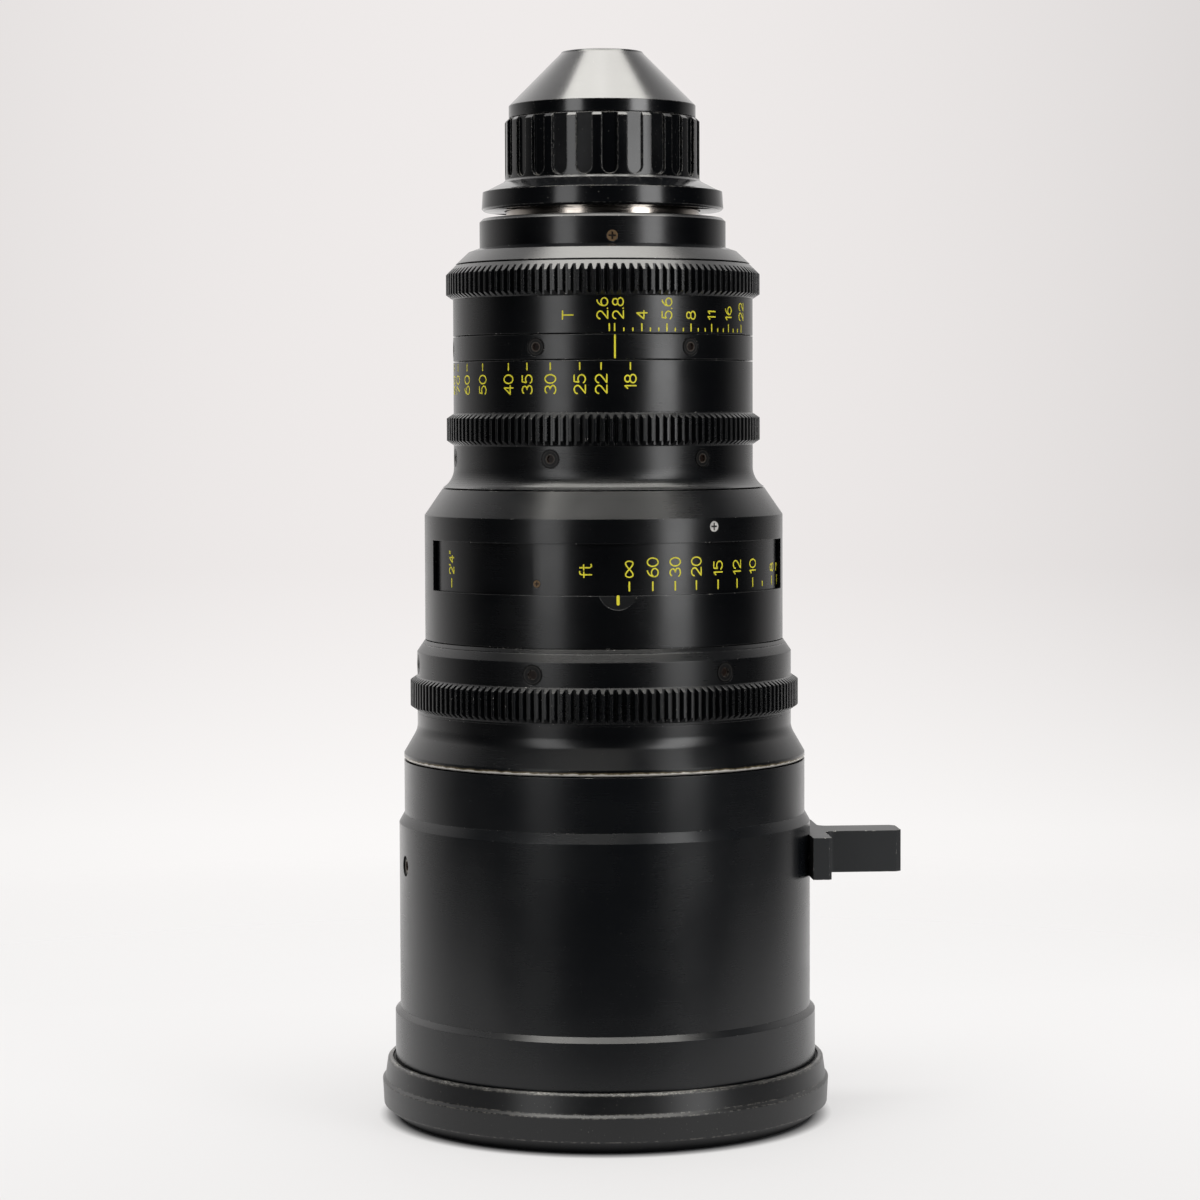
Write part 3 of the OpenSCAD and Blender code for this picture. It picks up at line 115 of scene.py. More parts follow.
class LensStage(bpy.types.PropertyGroup):
    """Camera, lamps and floor."""

    distance: length_property("Camera distance", "From the optical axis", 1095.44)
    height: length_property("Camera height", "Above the floor", 223.65)
    azimuth: angle_property("Camera azimuth", "Towards -X from the index marks", 4.4)
    pan: angle_property("Pan", "Turn of the camera to the left of the axis", 0.0641)
    pitch: angle_property("Pitch", "Downward tilt of the camera", 3.125)
    roll: angle_property("Roll", "Turn of the camera about its own axis", -0.206)
    focal: FloatProperty(name="Focal length", description="On a 36 mm wide frame, in mm",
                         default=103.435)
    backdrop: colour_property("Backdrop", "Colour of the backdrop", "#efebea")
    foot_of_backdrop: colour_property("Foot of the backdrop", "Its colour near the floor",
                                      "#fbf9f8")
    floor: colour_property("Floor", "Colour of the floor", "#b5b6b9")
    right_lamp: radiance_property("Right lamp", "the right softbox", 5.0)
    left_lamp: radiance_property("Left lamp", "the left softbox", 2.75)
    top_lamp: radiance_property("Top lamp", "the wide lamp overhead", 8.0)
    middle_lamp: radiance_property("Middle lamp", "the narrow lamp overhead", 12.5)
    front_lamp: radiance_property("Front lamp", "the lamp over the camera", 0.5)
    floor_rings: IntProperty(name="Floor rings", description="Rings in the floor's mesh",
                             default=24, min=4, max=200)


# Nodes

COLOUR_MIX = {"out": 2, "data_type": "RGBA"}    # a mix of two colours takes them at 6 and 7


def add_node(tree, kind, inputs=(), out=0, **settings):
    """Adds a node and returns one of its outputs, if it has any.

    kind is the node's type without the word ShaderNode. inputs holds values for the first sockets
    in order, or maps a socket's name or number to its value; another node's output is linked.
    """
    made = tree.nodes.new("ShaderNode" + kind)
    for key, value in settings.items():
        setattr(made, key, value)
    pairs = inputs.items() if isinstance(inputs, dict) else enumerate(inputs)
    for key, value in pairs:
        if isinstance(value, bpy.types.NodeSocket):
            tree.links.new(value, made.inputs[key])
        else:
            made.inputs[key].default_value = value
    return made.outputs[out] if made.outputs else None


def start_material(name):
    """A new material with an empty tree. Returns it and the function that adds its nodes."""
    material = bpy.data.materials.new(name)
    material.use_nodes = True
    material.node_tree.nodes.clear()
    return material, partial(add_node, material.node_tree)


def rgba(colour):
    return (*colour, 1.0)


def scaled(colour, factor):
    return rgba([c * factor for c in colour])


def noise(node, place, size_mm, detail=2.0, stretch=(1, 1, 1)):
    """A pattern with features of size_mm on the object, drawn out along an axis by stretch."""
    per_feature = [1 / (size_mm * MM * s) for s in stretch]
    counted = node("Mapping", {"Vector": place, "Scale": per_feature})
    return node("TexNoise", {"Vector": counted, "Scale": 1.0, "Detail": detail}, "Fac")


def from_axis(node, place):
    """The distance from the lens's axis."""
    flat = node("VectorMath", (place, (1, 1, 0)), operation="MULTIPLY")
    return node("VectorMath", (flat,), "Value", operation="LENGTH")


EDGE_COSINES = (0.995, 0.80)


def edge_share(node, bevel):
    """1 on a sharp edge and 0 away from it: how far the rounded normal leaves the face's own."""
    face = node("NewGeometry", out="Normal")
    along = node("VectorMath", (bevel, face), "Value", operation="DOT_PRODUCT")
    return node("MapRange", (along, *EDGE_COSINES))


# Kinds of finish

# Sizes of the patterns, in millimetres. Real turning marks and blasted grain measure about 0.1:
# they are drawn coarser, so that they show.
TURNING_MM = 0.45
GRAIN_MM = 0.25
SPECK_MM = 0.5
SMUDGE_MM = 22.0
WEAR_MM = 1.3
RAGGED_MM = 2.6
DIRT_MM = 0.6
LINT_PATCH_MM = 9.0
STAIN_MM = 3.0
BRIGHT_TURNING_MM = 0.35

# Levels of the noise between which a pattern sets in
SPECK_LEVELS = (0.745, 0.80)
SMUDGE_LEVELS = (0.3, 0.7)
WEAR_LEVELS = (0.66, 0.74)
WEAR_GAIN = 0.3                 # how far full wear lowers them
LINT_LEVELS = (0.48, 0.58)
LINT_PATCH_LEVELS = (0.42, 0.6)
DIRT_LEVELS = (0.35, 0.7)
STAIN_LEVELS = (0.45, 0.75)

# The worn edge, from above: brown sets in and is full, then bare metal sets in and is full
RAGGED_DEPTH = 1.2 * MM
BROWN_BAND = (0.70 * MM, 0.15 * MM)
BARE_BAND = (0.22 * MM, 0.02 * MM)
BROWN_SHARE = 0.85

ROUND_THE_AXIS = (60, 60, 1)    # how far the turning marks are drawn out
BRIGHT_ROUND_THE_AXIS = (40, 40, 1)
BRIGHT_EDGE = 0.15 * MM
RELIEF = 0.02 * MM
FINE_RELIEF = 0.01 * MM
LINT_RISE = 1.0 * MM            # height over which the lint sets in
LINT_SHARE = 0.8
WORN_GLOSS = 0.42               # roughness of bare metal and of the matt notch
WORN_METAL = 0.6                # metallic value of bare metal, which still has some skin
DUST = to_linear("#77756f")


def metal_finish(name, colour, bare, roughness, ring_mm=TURNING_MM, grain_mm=GRAIN_MM, wear=0.12,
                 dust=0.12, edge_mm=0.3, bump=0.12, ior=1.5, low_edge=None, tarnish=None,
                 lint_above=None, notch=None):
    """A black skin on turned metal.

    Turned rings: noise drawn out round the axis, ring_mm apart along it. Blasted grain of
    grain_mm. Broad smudges change the gloss. Specks of dust lighten it. Along the sharp edges,
    wear shows the bare metal in broken patches. low_edge is the height of an edge that is worn
    right through, with a brown tarnish above the bare metal. Lint gathers above the height
    lint_above. notch is a radius and a height: the matt recess inside and below them.
    """
    material, node = start_material(name)
    place = node("TexCoord", out="Object")
    height = node("SeparateXYZ", (place,), "Z")
    bevel = node("Bevel", {"Radius": edge_mm * MM}, samples=4)
    rings = noise(node, place, ring_mm, 3.0, ROUND_THE_AXIS)
    grain = noise(node, place, grain_mm)
    smudge = noise(node, place, SMUDGE_MM, 4.0)
    fleck = node("MapRange", (noise(node, place, SPECK_MM, 1.0), *SPECK_LEVELS))
    speck = node("Math", (fleck, dust), operation="MULTIPLY")
    levels = [level - wear * WEAR_GAIN for level in WEAR_LEVELS]
    patch = node("MapRange", (noise(node, place, WEAR_MM, 4.0), *levels))
    worn = node("Math", (edge_share(node, bevel), patch), operation="MULTIPLY", use_clamp=True)
    colour = rgba(colour)
    if low_edge is not None:
        wave = node("Math", (noise(node, place, RAGGED_MM, 5.0), RAGGED_DEPTH),
                    operation="MULTIPLY")
        ragged = node("Math", (height, wave), operation="SUBTRACT")
        brown = node("MapRange", (ragged, *(low_edge + z for z in BROWN_BAND), 0.0, BROWN_SHARE))
        colour = node("Mix", {0: brown, 6: colour, 7: rgba(tarnish)}, **COLOUR_MIX)
        through = node("MapRange", (ragged, *(low_edge + z for z in BARE_BAND)))
        worn = node("Math", (worn, through), operation="MAXIMUM")
    if lint_above is not None:
        fibre = node("MapRange", (noise(node, place, DIRT_MM, 6.0), *LINT_LEVELS))
        cloud = node("MapRange", (noise(node, place, LINT_PATCH_MM), *LINT_PATCH_LEVELS, 0.15, 1.0))
        flecks = node("Math", (fibre, cloud), operation="MULTIPLY")
        above = node("MapRange", (height, lint_above, lint_above + LINT_RISE))
        lint = node("Math", (above, flecks), operation="MULTIPLY", use_clamp=True)
        pale = node("Math", (lint, LINT_SHARE), operation="MULTIPLY")
        speck = node("Math", (speck, pale), operation="MAXIMUM")
    dusty = node("Mix", {0: speck, 6: colour, 7: rgba(DUST)}, **COLOUR_MIX)
    skin = node("Mix", {0: worn, 6: dusty, 7: rgba(bare)}, **COLOUR_MIX)
    handled = node("MapRange", (smudge, *SMUDGE_LEVELS, roughness - 0.03, roughness + 0.04))
    turned = node("Math", (rings, 0.04), operation="MULTIPLY")
    clean = node("Math", (handled, turned), operation="ADD")
    if notch is not None:
        inside = node("Math", (from_axis(node, place), notch[0]), operation="LESS_THAN")
        below = node("Math", (height, notch[1]), operation="LESS_THAN")
        recess = node("Math", (inside, below), operation="MULTIPLY")
        matt = node("Math", (recess, WORN_GLOSS), operation="MULTIPLY")
        clean = node("Math", (clean, matt), operation="MAXIMUM")
    gloss = node("MapRange", (worn, 0.0, 1.0, clean, WORN_GLOSS))
    coarse = node("Math", (rings, 0.6), operation="MULTIPLY")
    fine = node("Math", (grain, 0.4), operation="MULTIPLY")
    mixed = node("Math", (coarse, fine), operation="ADD")
    relief = node("Bump", {"Strength": bump, "Distance": RELIEF, "Height": mixed, "Normal": bevel})
    metal = node("Math", (worn, WORN_METAL), operation="MULTIPLY")
    shader = node("BsdfPrincipled", {"Base Color": skin, "Metallic": metal, "Roughness": gloss,
                                     "Normal": relief, "IOR": ior})
    node("OutputMaterial", {"Surface": shader})
    return material


def reach(name):
    """The distance from the lens's axis to the node's furthest point."""
    mesh = NODES[name].data
    points = np.empty(len(mesh.vertices) * 3)
    mesh.vertices.foreach_get("co", points)
    return float(np.hypot(*points.reshape(-1, 3)[:, :2].T).max())


def screw_finish(name, screws, phi, count, tones_and_painted_light):
    """Blackened screw heads on a ring, shaded by the distance from each screw's own axis: rings of
    colour with painted highlights and painted shade.

    Across: the angle round the ring, less phi, folded to the nearest of count screws, times the
    heads' radius. Up: the height from the row's middle. The distance is the root of the sum of
    the two squares. tones_and_painted_light: (distance in millimetres, colour) from the socket
    outwards. Its light rings are painted highlights, the black of the gap round the head is
    painted shade, and the socket's dark brown is part rust and part painted shade.
    """
    material, node = start_material(name)
    low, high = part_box(screws)
    spacing = 2 * math.pi / count
    place = node("TexCoord", out="Object")
    x, y, z = node("SeparateXYZ", (place,)).node.outputs
    front = node("Math", (y, -1.0), operation="MULTIPLY")
    angle = node("Math", (x, front), operation="ARCTAN2")
    past = node("Math", (angle, math.radians(phi)), operation="SUBTRACT")
    turn = node("Math", (past, 1 / spacing), operation="MULTIPLY")
    nearest = node("Math", (turn,), operation="ROUND")
    fold = node("Math", (turn, nearest), operation="SUBTRACT")
    across = node("Math", (fold, spacing * reach(screws)), operation="MULTIPLY")
    up = node("Math", (z, (low.z + high.z) / 2), operation="SUBTRACT")
    squares = [node("Math", (side, side), operation="MULTIPLY") for side in (across, up)]
    away = node("Math", (node("Math", squares, operation="ADD"),), operation="SQRT")
    furthest = tones_and_painted_light[-1][0]
    ramp = node("ValToRGB", (node("MapRange", (away, 0.0, furthest * MM)),))
    stops = ramp.node.color_ramp.elements
    stops[0].color = rgba(to_linear(tones_and_painted_light[0][1]))
    stops[1].color = rgba(to_linear(tones_and_painted_light[-1][1]))
    for distance, code in tones_and_painted_light[1:-1]:
        stops.new(distance / furthest).color = rgba(to_linear(code))
    dirt = node("MapRange", (noise(node, place, DIRT_MM, 4.0), *DIRT_LEVELS, 0.75, 1.25))
    tone = node("VectorMath", (ramp, dirt), operation="MULTIPLY")
    grain = noise(node, place, GRAIN_MM, 3.0)
    relief = node("Bump", {"Strength": 0.3, "Distance": RELIEF, "Height": grain})
    shader = node("BsdfPrincipled", {"Base Color": tone, "Roughness": 0.4,
                                     "Specular IOR Level": 0.2, "Normal": relief})
    node("OutputMaterial", {"Surface": shader})
    dress(material, screws)


def bright_metal(name, colour, roughness, stain=0.3, metallic=1.0, recess=None):
    """Turned bright metal: fine rings round the axis in the gloss, and darker stains. What lies
    nearer the lens's axis than the radius recess is painted nearly black, as painted shade."""
    material, node = start_material(name)
    place = node("TexCoord", out="Object")
    bevel = node("Bevel", {"Radius": BRIGHT_EDGE}, samples=4)
    rings = noise(node, place, BRIGHT_TURNING_MM, 3.0, BRIGHT_ROUND_THE_AXIS)
    stains = node("MapRange", (noise(node, place, STAIN_MM, 5.0), *STAIN_LEVELS))
    share = node("Math", (stains, stain), operation="MULTIPLY")
    tone = node("Mix", {0: share, 6: rgba(colour), 7: scaled(colour, 0.35)}, **COLOUR_MIX)
    if recess is not None:
        # Painted shade: the recess is coloured nearly black
        inside = node("Math", (from_axis(node, place), recess), operation="LESS_THAN")
        tone = node("Mix", {0: inside, 6: tone, 7: scaled(colour, 0.04)}, **COLOUR_MIX)
    gloss = node("MapRange", (rings, *SMUDGE_LEVELS, roughness - 0.06, roughness + 0.08))
    relief = node("Bump", {"Strength": 0.15, "Distance": FINE_RELIEF, "Height": rings,
                           "Normal": bevel})
    shader = node("BsdfPrincipled", {"Base Color": tone, "Metallic": metallic, "Roughness": gloss,
                                     "Normal": relief})
    node("OutputMaterial", {"Surface": shader})
    return material


def dress(material, *names):
    """Gives the CAD nodes the material, in place of what they were packed with."""
    for name in names:
        slots = NODES[name].data.materials
        slots.clear()
        slots.append(material)


# Marks

def arc(cx, cy, rx, ry, start, stop, count=28):
    """Points on an ellipse: centre plus the radii times cosine and sine of the angle."""
    a = np.radians(np.linspace(start, stop, count))
    return np.column_stack([cx + rx * np.cos(a), cy + ry * np.sin(a)])


def eight_path(width, height, count=57):
    """A lying eight: x follows the sine of t and y the sine of 2t."""
    t = np.linspace(0, 2 * np.pi, count)
    return np.column_stack([width / 2 * (1 + np.sin(t)), 0.5 + height / 2 * np.sin(2 * t)])


def glyph_table():
    """The strokes of each sign in a box one unit high, and its width."""
    line = np.array
    join = np.vstack
    return {
        "0": (0.76, [arc(0.38, 0.5, 0.37, 0.5, 0, 360, 41)]),
        "1": (0.34, [line([[0.04, 0.76], [0.27, 1.0], [0.27, 0.0]])]),
        "2": (0.76, [join([arc(0.37, 0.69, 0.35, 0.31, 172, -38), [[0.03, 0.0], [0.74, 0.0]]])]),
        "3": (0.76, [join([arc(0.36, 0.75, 0.31, 0.25, 155, -90),
                           arc(0.36, 0.25, 0.37, 0.25, 90, -155)])]),
        "4": (0.78, [line([[0.56, 0.0], [0.56, 1.0], [0.0, 0.3], [0.76, 0.3]])]),
        "5": (0.76, [join([[[0.68, 1.0], [0.14, 1.0], [0.08, 0.58]],
                           arc(0.36, 0.33, 0.37, 0.33, 132, -152)])]),
        "6": (0.76, [arc(0.38, 0.31, 0.36, 0.31, 0, 360, 37),
                     arc(0.62, 0.33, 0.60, 0.67, 180, 98)]),
        "7": (0.72, [line([[0.02, 1.0], [0.7, 1.0], [0.24, 0.0]])]),
        "8": (0.76, [arc(0.38, 0.76, 0.29, 0.24, 0, 360, 33),
                     arc(0.38, 0.27, 0.36, 0.27, 0, 360, 37)]),
        "9": (0.76, [arc(0.38, 0.69, 0.36, 0.31, 0, 360, 37), arc(0.14, 0.67, 0.60, 0.67, 0, -82)]),
        "T": (0.76, [line([[0.0, 1.0], [0.76, 1.0]]), line([[0.38, 1.0], [0.38, 0.0]])]),
        "f": (0.46, [join([arc(0.42, 0.76, 0.20, 0.24, 70, 180), [[0.22, 0.0]]]),
                     line([[0.0, 0.64], [0.44, 0.64]])]),
        "t": (0.46, [join([[[0.18, 0.98], [0.18, 0.22]], arc(0.36, 0.2, 0.18, 0.2, 180, 300)]),
                     line([[0.0, 0.66], [0.42, 0.66]])]),
        ".": (0.12, [line([[0.05, 0.02], [0.07, 0.02]])]),
        "'": (0.16, [line([[0.08, 1.0], [0.04, 0.76]])]),
        '"': (0.34, [line([[0.08, 1.0], [0.04, 0.76]]), line([[0.28, 1.0], [0.24, 0.76]])]),
        "inf": (1.42, [eight_path(1.42, 0.66)]),
    }


GLYPHS = glyph_table()
LETTER_GAP = 0.17                   # as a share of the height
STEP_SHARE = 0.7                    # step along a stroke, as a share of its width
END_TURNS = (0, 25, 50, 72, 88)     # degrees round the half circle that ends a stroke
PAINT_ROOT = 0.15 * MM              # how far a stroke reaches into the metal


def resample(path, step):
    """Points along the path about one step apart, its corners kept."""
    lengths = np.hypot(*np.diff(path, axis=0).T)
    parts = np.maximum(1, np.ceil(lengths / step)).astype(int)
    along = np.concatenate([[0.0]] + [i + np.arange(1, n + 1) / n for i, n in enumerate(parts)])
    index = np.arange(len(path))
    return np.column_stack([np.interp(along, index, path[:, k]) for k in (0, 1)])


def stroke_solid(path, width, low, high, closed=False):
    """A stroke as a closed solid, in the plane (a, b) with height c.

    The profile is a box: half the width to each side, from low to high. It is carried along the
    path, square to its direction, and its half width falls to nearly 0 over a half circle beyond
    each end, which rounds the ends.
    """
    points = resample(path, width * STEP_SHARE)
    half = width / 2
    if closed:
        points = points[:-1]
        ahead = np.roll(points, -1, axis=0) - np.roll(points, 1, axis=0)
        share = np.ones(len(points))
    else:
        ahead = np.gradient(points, axis=0)
        turn = np.radians(END_TURNS)
        first, last = (v / np.hypot(*v) for v in (points[1] - points[0], points[-1] - points[-2]))
        head = points[0] - half * np.outer(np.sin(turn[::-1]), first)
        tail = points[-1] + half * np.outer(np.sin(turn), last)
        share = np.concatenate([np.cos(turn[::-1]), np.ones(len(points) - 2), np.cos(turn)])
        first, last = (np.tile(v, (len(turn), 1)) for v in (first, last))
        ahead = np.vstack([first, ahead[1:-1], last])
        points = np.vstack([head, points[1:-1], tail])
    ahead = ahead / np.hypot(*ahead.T)[:, None]
    side = np.column_stack([-ahead[:, 1], ahead[:, 0]])
    offset = half * share[:, None] * side
    count = len(points)
    grid = np.zeros((count, 4, 3))
    for j, (sign, height) in enumerate(((1, low), (1, high), (-1, high), (-1, low))):
        grid[:, j, :2] = points + sign * offset
        grid[:, j, 2] = height
    i = np.arange(count if closed else count - 1)[:, None]
    j = np.arange(4)[None, :]
    k = (i + 1) % count
    quads = np.stack([i * 4 + j, i * 4 + (j + 1) % 4, k * 4 + (j + 1) % 4, k * 4 + j], axis=-1)
    faces = quads.reshape(-1, 4)
    if not closed:
        last_row = (count - 1) * 4
        ends = np.array([[3, 2, 1, 0], [last_row, last_row + 1, last_row + 2, last_row + 3]])
        faces = np.vstack([faces, ends])
    return grid.reshape(-1, 3), faces


def join_solids(solids):
    """Vertices and faces of several solids as one mesh's arrays."""
    starts = np.cumsum([0] + [len(v) for v, _ in solids[:-1]])
    return (np.vstack([v for v, _ in solids]),
            np.vstack([f + s for (_, f), s in zip(solids, starts)]))


def label_strokes(text, height, a_mid, b_start, ink, from_end=False):
    """Strokes of a label that reads upwards along b, its middle on a_mid.

    A sign's x runs along b and its y towards smaller a. b_start is where the paint begins, or
    where it ends when from_end is set; ink is half the stroke.
    """
    signs = ["inf"] if text == "inf" else list(text)
    widths = [GLYPHS[s][0] for s in signs]
    total = (sum(widths) + LETTER_GAP * (len(signs) - 1)) * height
    at = b_start - total - ink if from_end else b_start + ink
    strokes = []
    for sign, width in zip(signs, widths):
        for path in GLYPHS[sign][1]:
            strokes.append(np.column_stack([a_mid + (0.5 - path[:, 1]) * height,
                                            at + path[:, 0] * height]))
        at += (width + LETTER_GAP) * height
    return strokes


def wrap(points, radius, phi):
    """Lays (a, b, c) on a cylinder: the angle is phi + a / radius, the height b, c is radial."""
    angle = np.radians(phi) + points[:, 0] / radius
    out = radius + points[:, 2]
    return np.column_stack([out * np.sin(angle), -out * np.cos(angle), points[:, 1]])


def marks_on_ring(name, radius, labels, lines, dials, body):
    """One piece for all of a ring's marks.

    labels: (text, height, phi, sideways shift, start height, from_end). lines: (phi, from height,
    to height, width). All lengths are in metres and angles in degrees.
    """
    solids = []
    low, high = -PAINT_ROOT, dials.lift
    for text, height, phi, shift, start, from_end in labels:
        for path in label_strokes(text, height, shift, start, dials.stroke / 2, from_end):
            closed = len(path) > 4 and np.allclose(path[0], path[-1])
            points, faces = stroke_solid(path, dials.stroke, low, high, closed)
            solids.append((wrap(points, radius, phi), faces))
    for phi, start, stop, width in lines:
        path = np.array([[0.0, start + width / 2], [0.0, stop - width / 2]])
        points, faces = stroke_solid(path, width, low, high)
        solids.append((wrap(points, radius, phi), faces))
    vertices, faces = join_solids(solids)
    return new_piece(name, vertices, faces, body, mark_paint())


def new_piece(name, vertices, faces, body, material):
    """A mesh object from arrays, riding on a body."""
    mesh = bpy.data.meshes.new(name)
    mesh.from_pydata(vertices.tolist(), [], faces.tolist())
    mesh.materials.append(material)
    piece = bpy.data.objects.new(name, mesh)
    bpy.context.scene.collection.objects.link(piece)
    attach(piece, body)
    return piece


def mark_paint():
    """Yellow engraving paint, brushed into the cut numerals: matt, a little uneven, with dirt in
    places."""
    known = bpy.data.materials.get("engraving_paint")
    if known:
        return known
    finishes = bpy.context.scene.lens_finishes
    material, node = start_material("engraving_paint")
    place = node("TexCoord", out="Object")
    dirt = node("MapRange", (noise(node, place, 0.8, 4.0), 0.5, 0.8))
    share = node("Math", (dirt, 0.5), operation="MULTIPLY")
    tone = node("Mix", {0: share, 6: rgba(finishes.mark), 7: rgba(to_linear("#8a8430"))},
                **COLOUR_MIX)
    brushed = noise(node, place, 0.2)
    relief = node("Bump", {"Strength": 0.2, "Distance": FINE_RELIEF, "Height": brushed})
    shader = node("BsdfPrincipled", {"Base Color": tone, "Roughness": 0.55, "Normal": relief})
    node("OutputMaterial", {"Surface": shader})
    return material


# Scales: each step's text and its angle in degrees. The iris steps add a sideways shift of the
# text in millimetres, where two numerals would touch.
IRIS_STEPS = (("2.6", -2.05, -2.1), ("2.8", -0.1, 1.05), ("4", 10.05, 0), ("5.6", 19.9, 0),
              ("8", 30.2, 0), ("11", 40.4, 0), ("16", 50.5, 0), ("22", 60.6, 0))
ZOOM_STEPS = (("18", 5.7), ("22", -5.1), ("25", -13.0), ("30", -24.2), ("35", -33.7),
              ("40", -42.1), ("50", -56.0), ("60", -67.5), ("70", -77.6), ("80", -85.4))
FOCUS_STEPS = (("inf", 3.6), ("60", 11.1), ("30", 18.6), ("20", 26.1), ("15", 34.6), ("12", 43.1),
               ("10", 51.6), ("8", 66.6), ("7", 74.0), ("6", 83.0), ("5", 98.0), ("4", 124.0),
               ("3'6\"", 146.0), ("3", 186.0), ("2'9\"", 220.0), ("2'6\"", 262.0), ("2'4\"", 297.6))
IRIS_LETTER = ("T", -17.4)
FOCUS_UNIT = ("ft", -10.1)
FOCUS_DOT = 58.1                  # the angle of the short line between 10 and 8
INCHES_SHARE = 0.82               # height of the texts with inches, as a share of the numerals'
UNIT_SHARE = 1.06
FOCUS_LINE_SHARE = 1.2
WINDOW_SILL = 16.0 * MM           # above the foot of the body shell


class ZOOM_LENS_OT_iris_scale(bpy.types.Operator):
    """Paints the stops, their thirds and the letter T on the iris ring"""

    bl_idname = "zoom_lens.iris_scale"
    bl_label = "Iris scale"

    def execute(self, context):
        dials = context.scene.lens_dials
        low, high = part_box("iris_ring")
        line_low, line_high = low.z + 0.4 * MM, low.z + 2.9 * MM
        third_high = low.z + 1.6 * MM
        text_low = low.z + 3.95 * MM
        labels = [(text, dials.iris_text, phi, shift * MM, text_low, False)
                  for text, phi, shift in (*IRIS_STEPS, (*IRIS_LETTER, 0.0))]
        lines = [(phi, line_low, line_high, dials.tick) for _, phi, _ in IRIS_STEPS]
        full = [phi for _, phi, _ in IRIS_STEPS[1:]]
        for a, b in zip(full, full[1:]):
            lines += [(a + (b - a) * k / 3, line_low, third_high, dials.tick) for k in (1, 2)]
        marks_on_ring("iris_scale_marks", high.x, labels, lines, dials, "iris_ring")
        return {"FINISHED"}


class ZOOM_LENS_OT_zoom_scale(bpy.types.Operator):
    """Paints the focal lengths on the zoom ring"""

    bl_idname = "zoom_lens.zoom_scale"
    bl_label = "Zoom scale"

    def execute(self, context):
        dials = context.scene.lens_dials
        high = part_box("zoom_hub")[1]
        text_high = high.z - 4.1 * MM
        line_low, line_high = high.z - 3.0 * MM, high.z - 0.6 * MM
        labels = [(text, dials.zoom_text, phi, 0.0, text_high, True) for text, phi in ZOOM_STEPS]
        lines = [(phi, line_low, line_high, dials.tick) for _, phi in ZOOM_STEPS]
        marks_on_ring("zoom_scale_marks", high.x, labels, lines, dials, "zoom_ring")
        return {"FINISHED"}


class ZOOM_LENS_OT_focus_scale(bpy.types.Operator):
    """Paints the distances on the focus drum, which the window shows"""

    bl_idname = "zoom_lens.focus_scale"
    bl_label = "Focus scale"

    def execute(self, context):
        dials = context.scene.lens_dials
        low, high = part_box("body_shell")
        radius = high.x - dials.drum_gap
        sill = low.z + WINDOW_SILL
        line_low, line_high = sill + 1.3 * MM, sill + 4.3 * MM
        dot_high = line_low + 1.7 * MM
        text_low = sill + 5.4 * MM
        width = dials.tick * FOCUS_LINE_SHARE
        sizes = [(text, phi, INCHES_SHARE if "'" in text else 1) for text, phi in FOCUS_STEPS]
        sizes.append((*FOCUS_UNIT, UNIT_SHARE))
        labels = [(text, dials.focus_text * share, phi, 0.0, text_low, False)
                  for text, phi, share in sizes]
        lines = [(phi, line_low, line_high, width) for _, phi in FOCUS_STEPS]
        lines.append((FOCUS_DOT, line_low, dot_high, width))
        marks_on_ring("focus_scale_marks", radius, labels, lines, dials, "focus_ring")
        return {"FINISHED"}


class ZOOM_LENS_OT_index_marks(bpy.types.Operator):
    """Paints the fixed index lines: on the index ring and in the notch below the window"""

    bl_idname = "zoom_lens.index_marks"
    bl_label = "Index marks"

    def execute(self, context):
        dials = context.scene.lens_dials
        low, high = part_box("index_ring")
        margin, width = 0.1 * MM, 0.55 * MM
        line = (0.0, low.z + margin, high.z - margin, width)
        marks_on_ring("ring_index_line", high.x, [], [line], dials, "barrel")
        low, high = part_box("body_shell")
        sill = low.z + WINDOW_SILL
        line_low, line_high, width = sill - 2.9 * MM, sill + 0.2 * MM, 0.95 * MM
        line = (0.0, line_low, line_high, width)
        marks_on_ring("window_index_line", high.x - dials.notch, [], [line], dials, "barrel")
        return {"FINISHED"}


# Finishes

BARREL = ("front_ring", "front_barrel", "barrel_collar")
GEARS = ("focus_gear", "zoom_gear", "iris_gear")
OUTER = ("index_ring", "iris_ring", "zoom_hub", "rear_cover_ring", "rear_housing", "mount_barrel",
         "focus_drum")
INNER = ("front_retainer", "front_cell", "main_sleeve", "focus_cam", "focus_carrier", "guide_tube",
         "variator_carrier", "compensator_carrier", "iris_base", "iris_actuator", "relay_cell",
         "iris_blades")
GLASS = ("front_element", "inner_element", "focus_element_front", "focus_element_rear",
         "variator_element", "compensator_element", "relay_element_front", "relay_element_rear",
         "rear_element")
STEEL = ("mount_ring", "mount_shim", "mount_screws", "foot_screws", "collar_screws", "focus_pins",
         "zoom_keys", "variator_pins", "compensator_pins", "iris_keys")


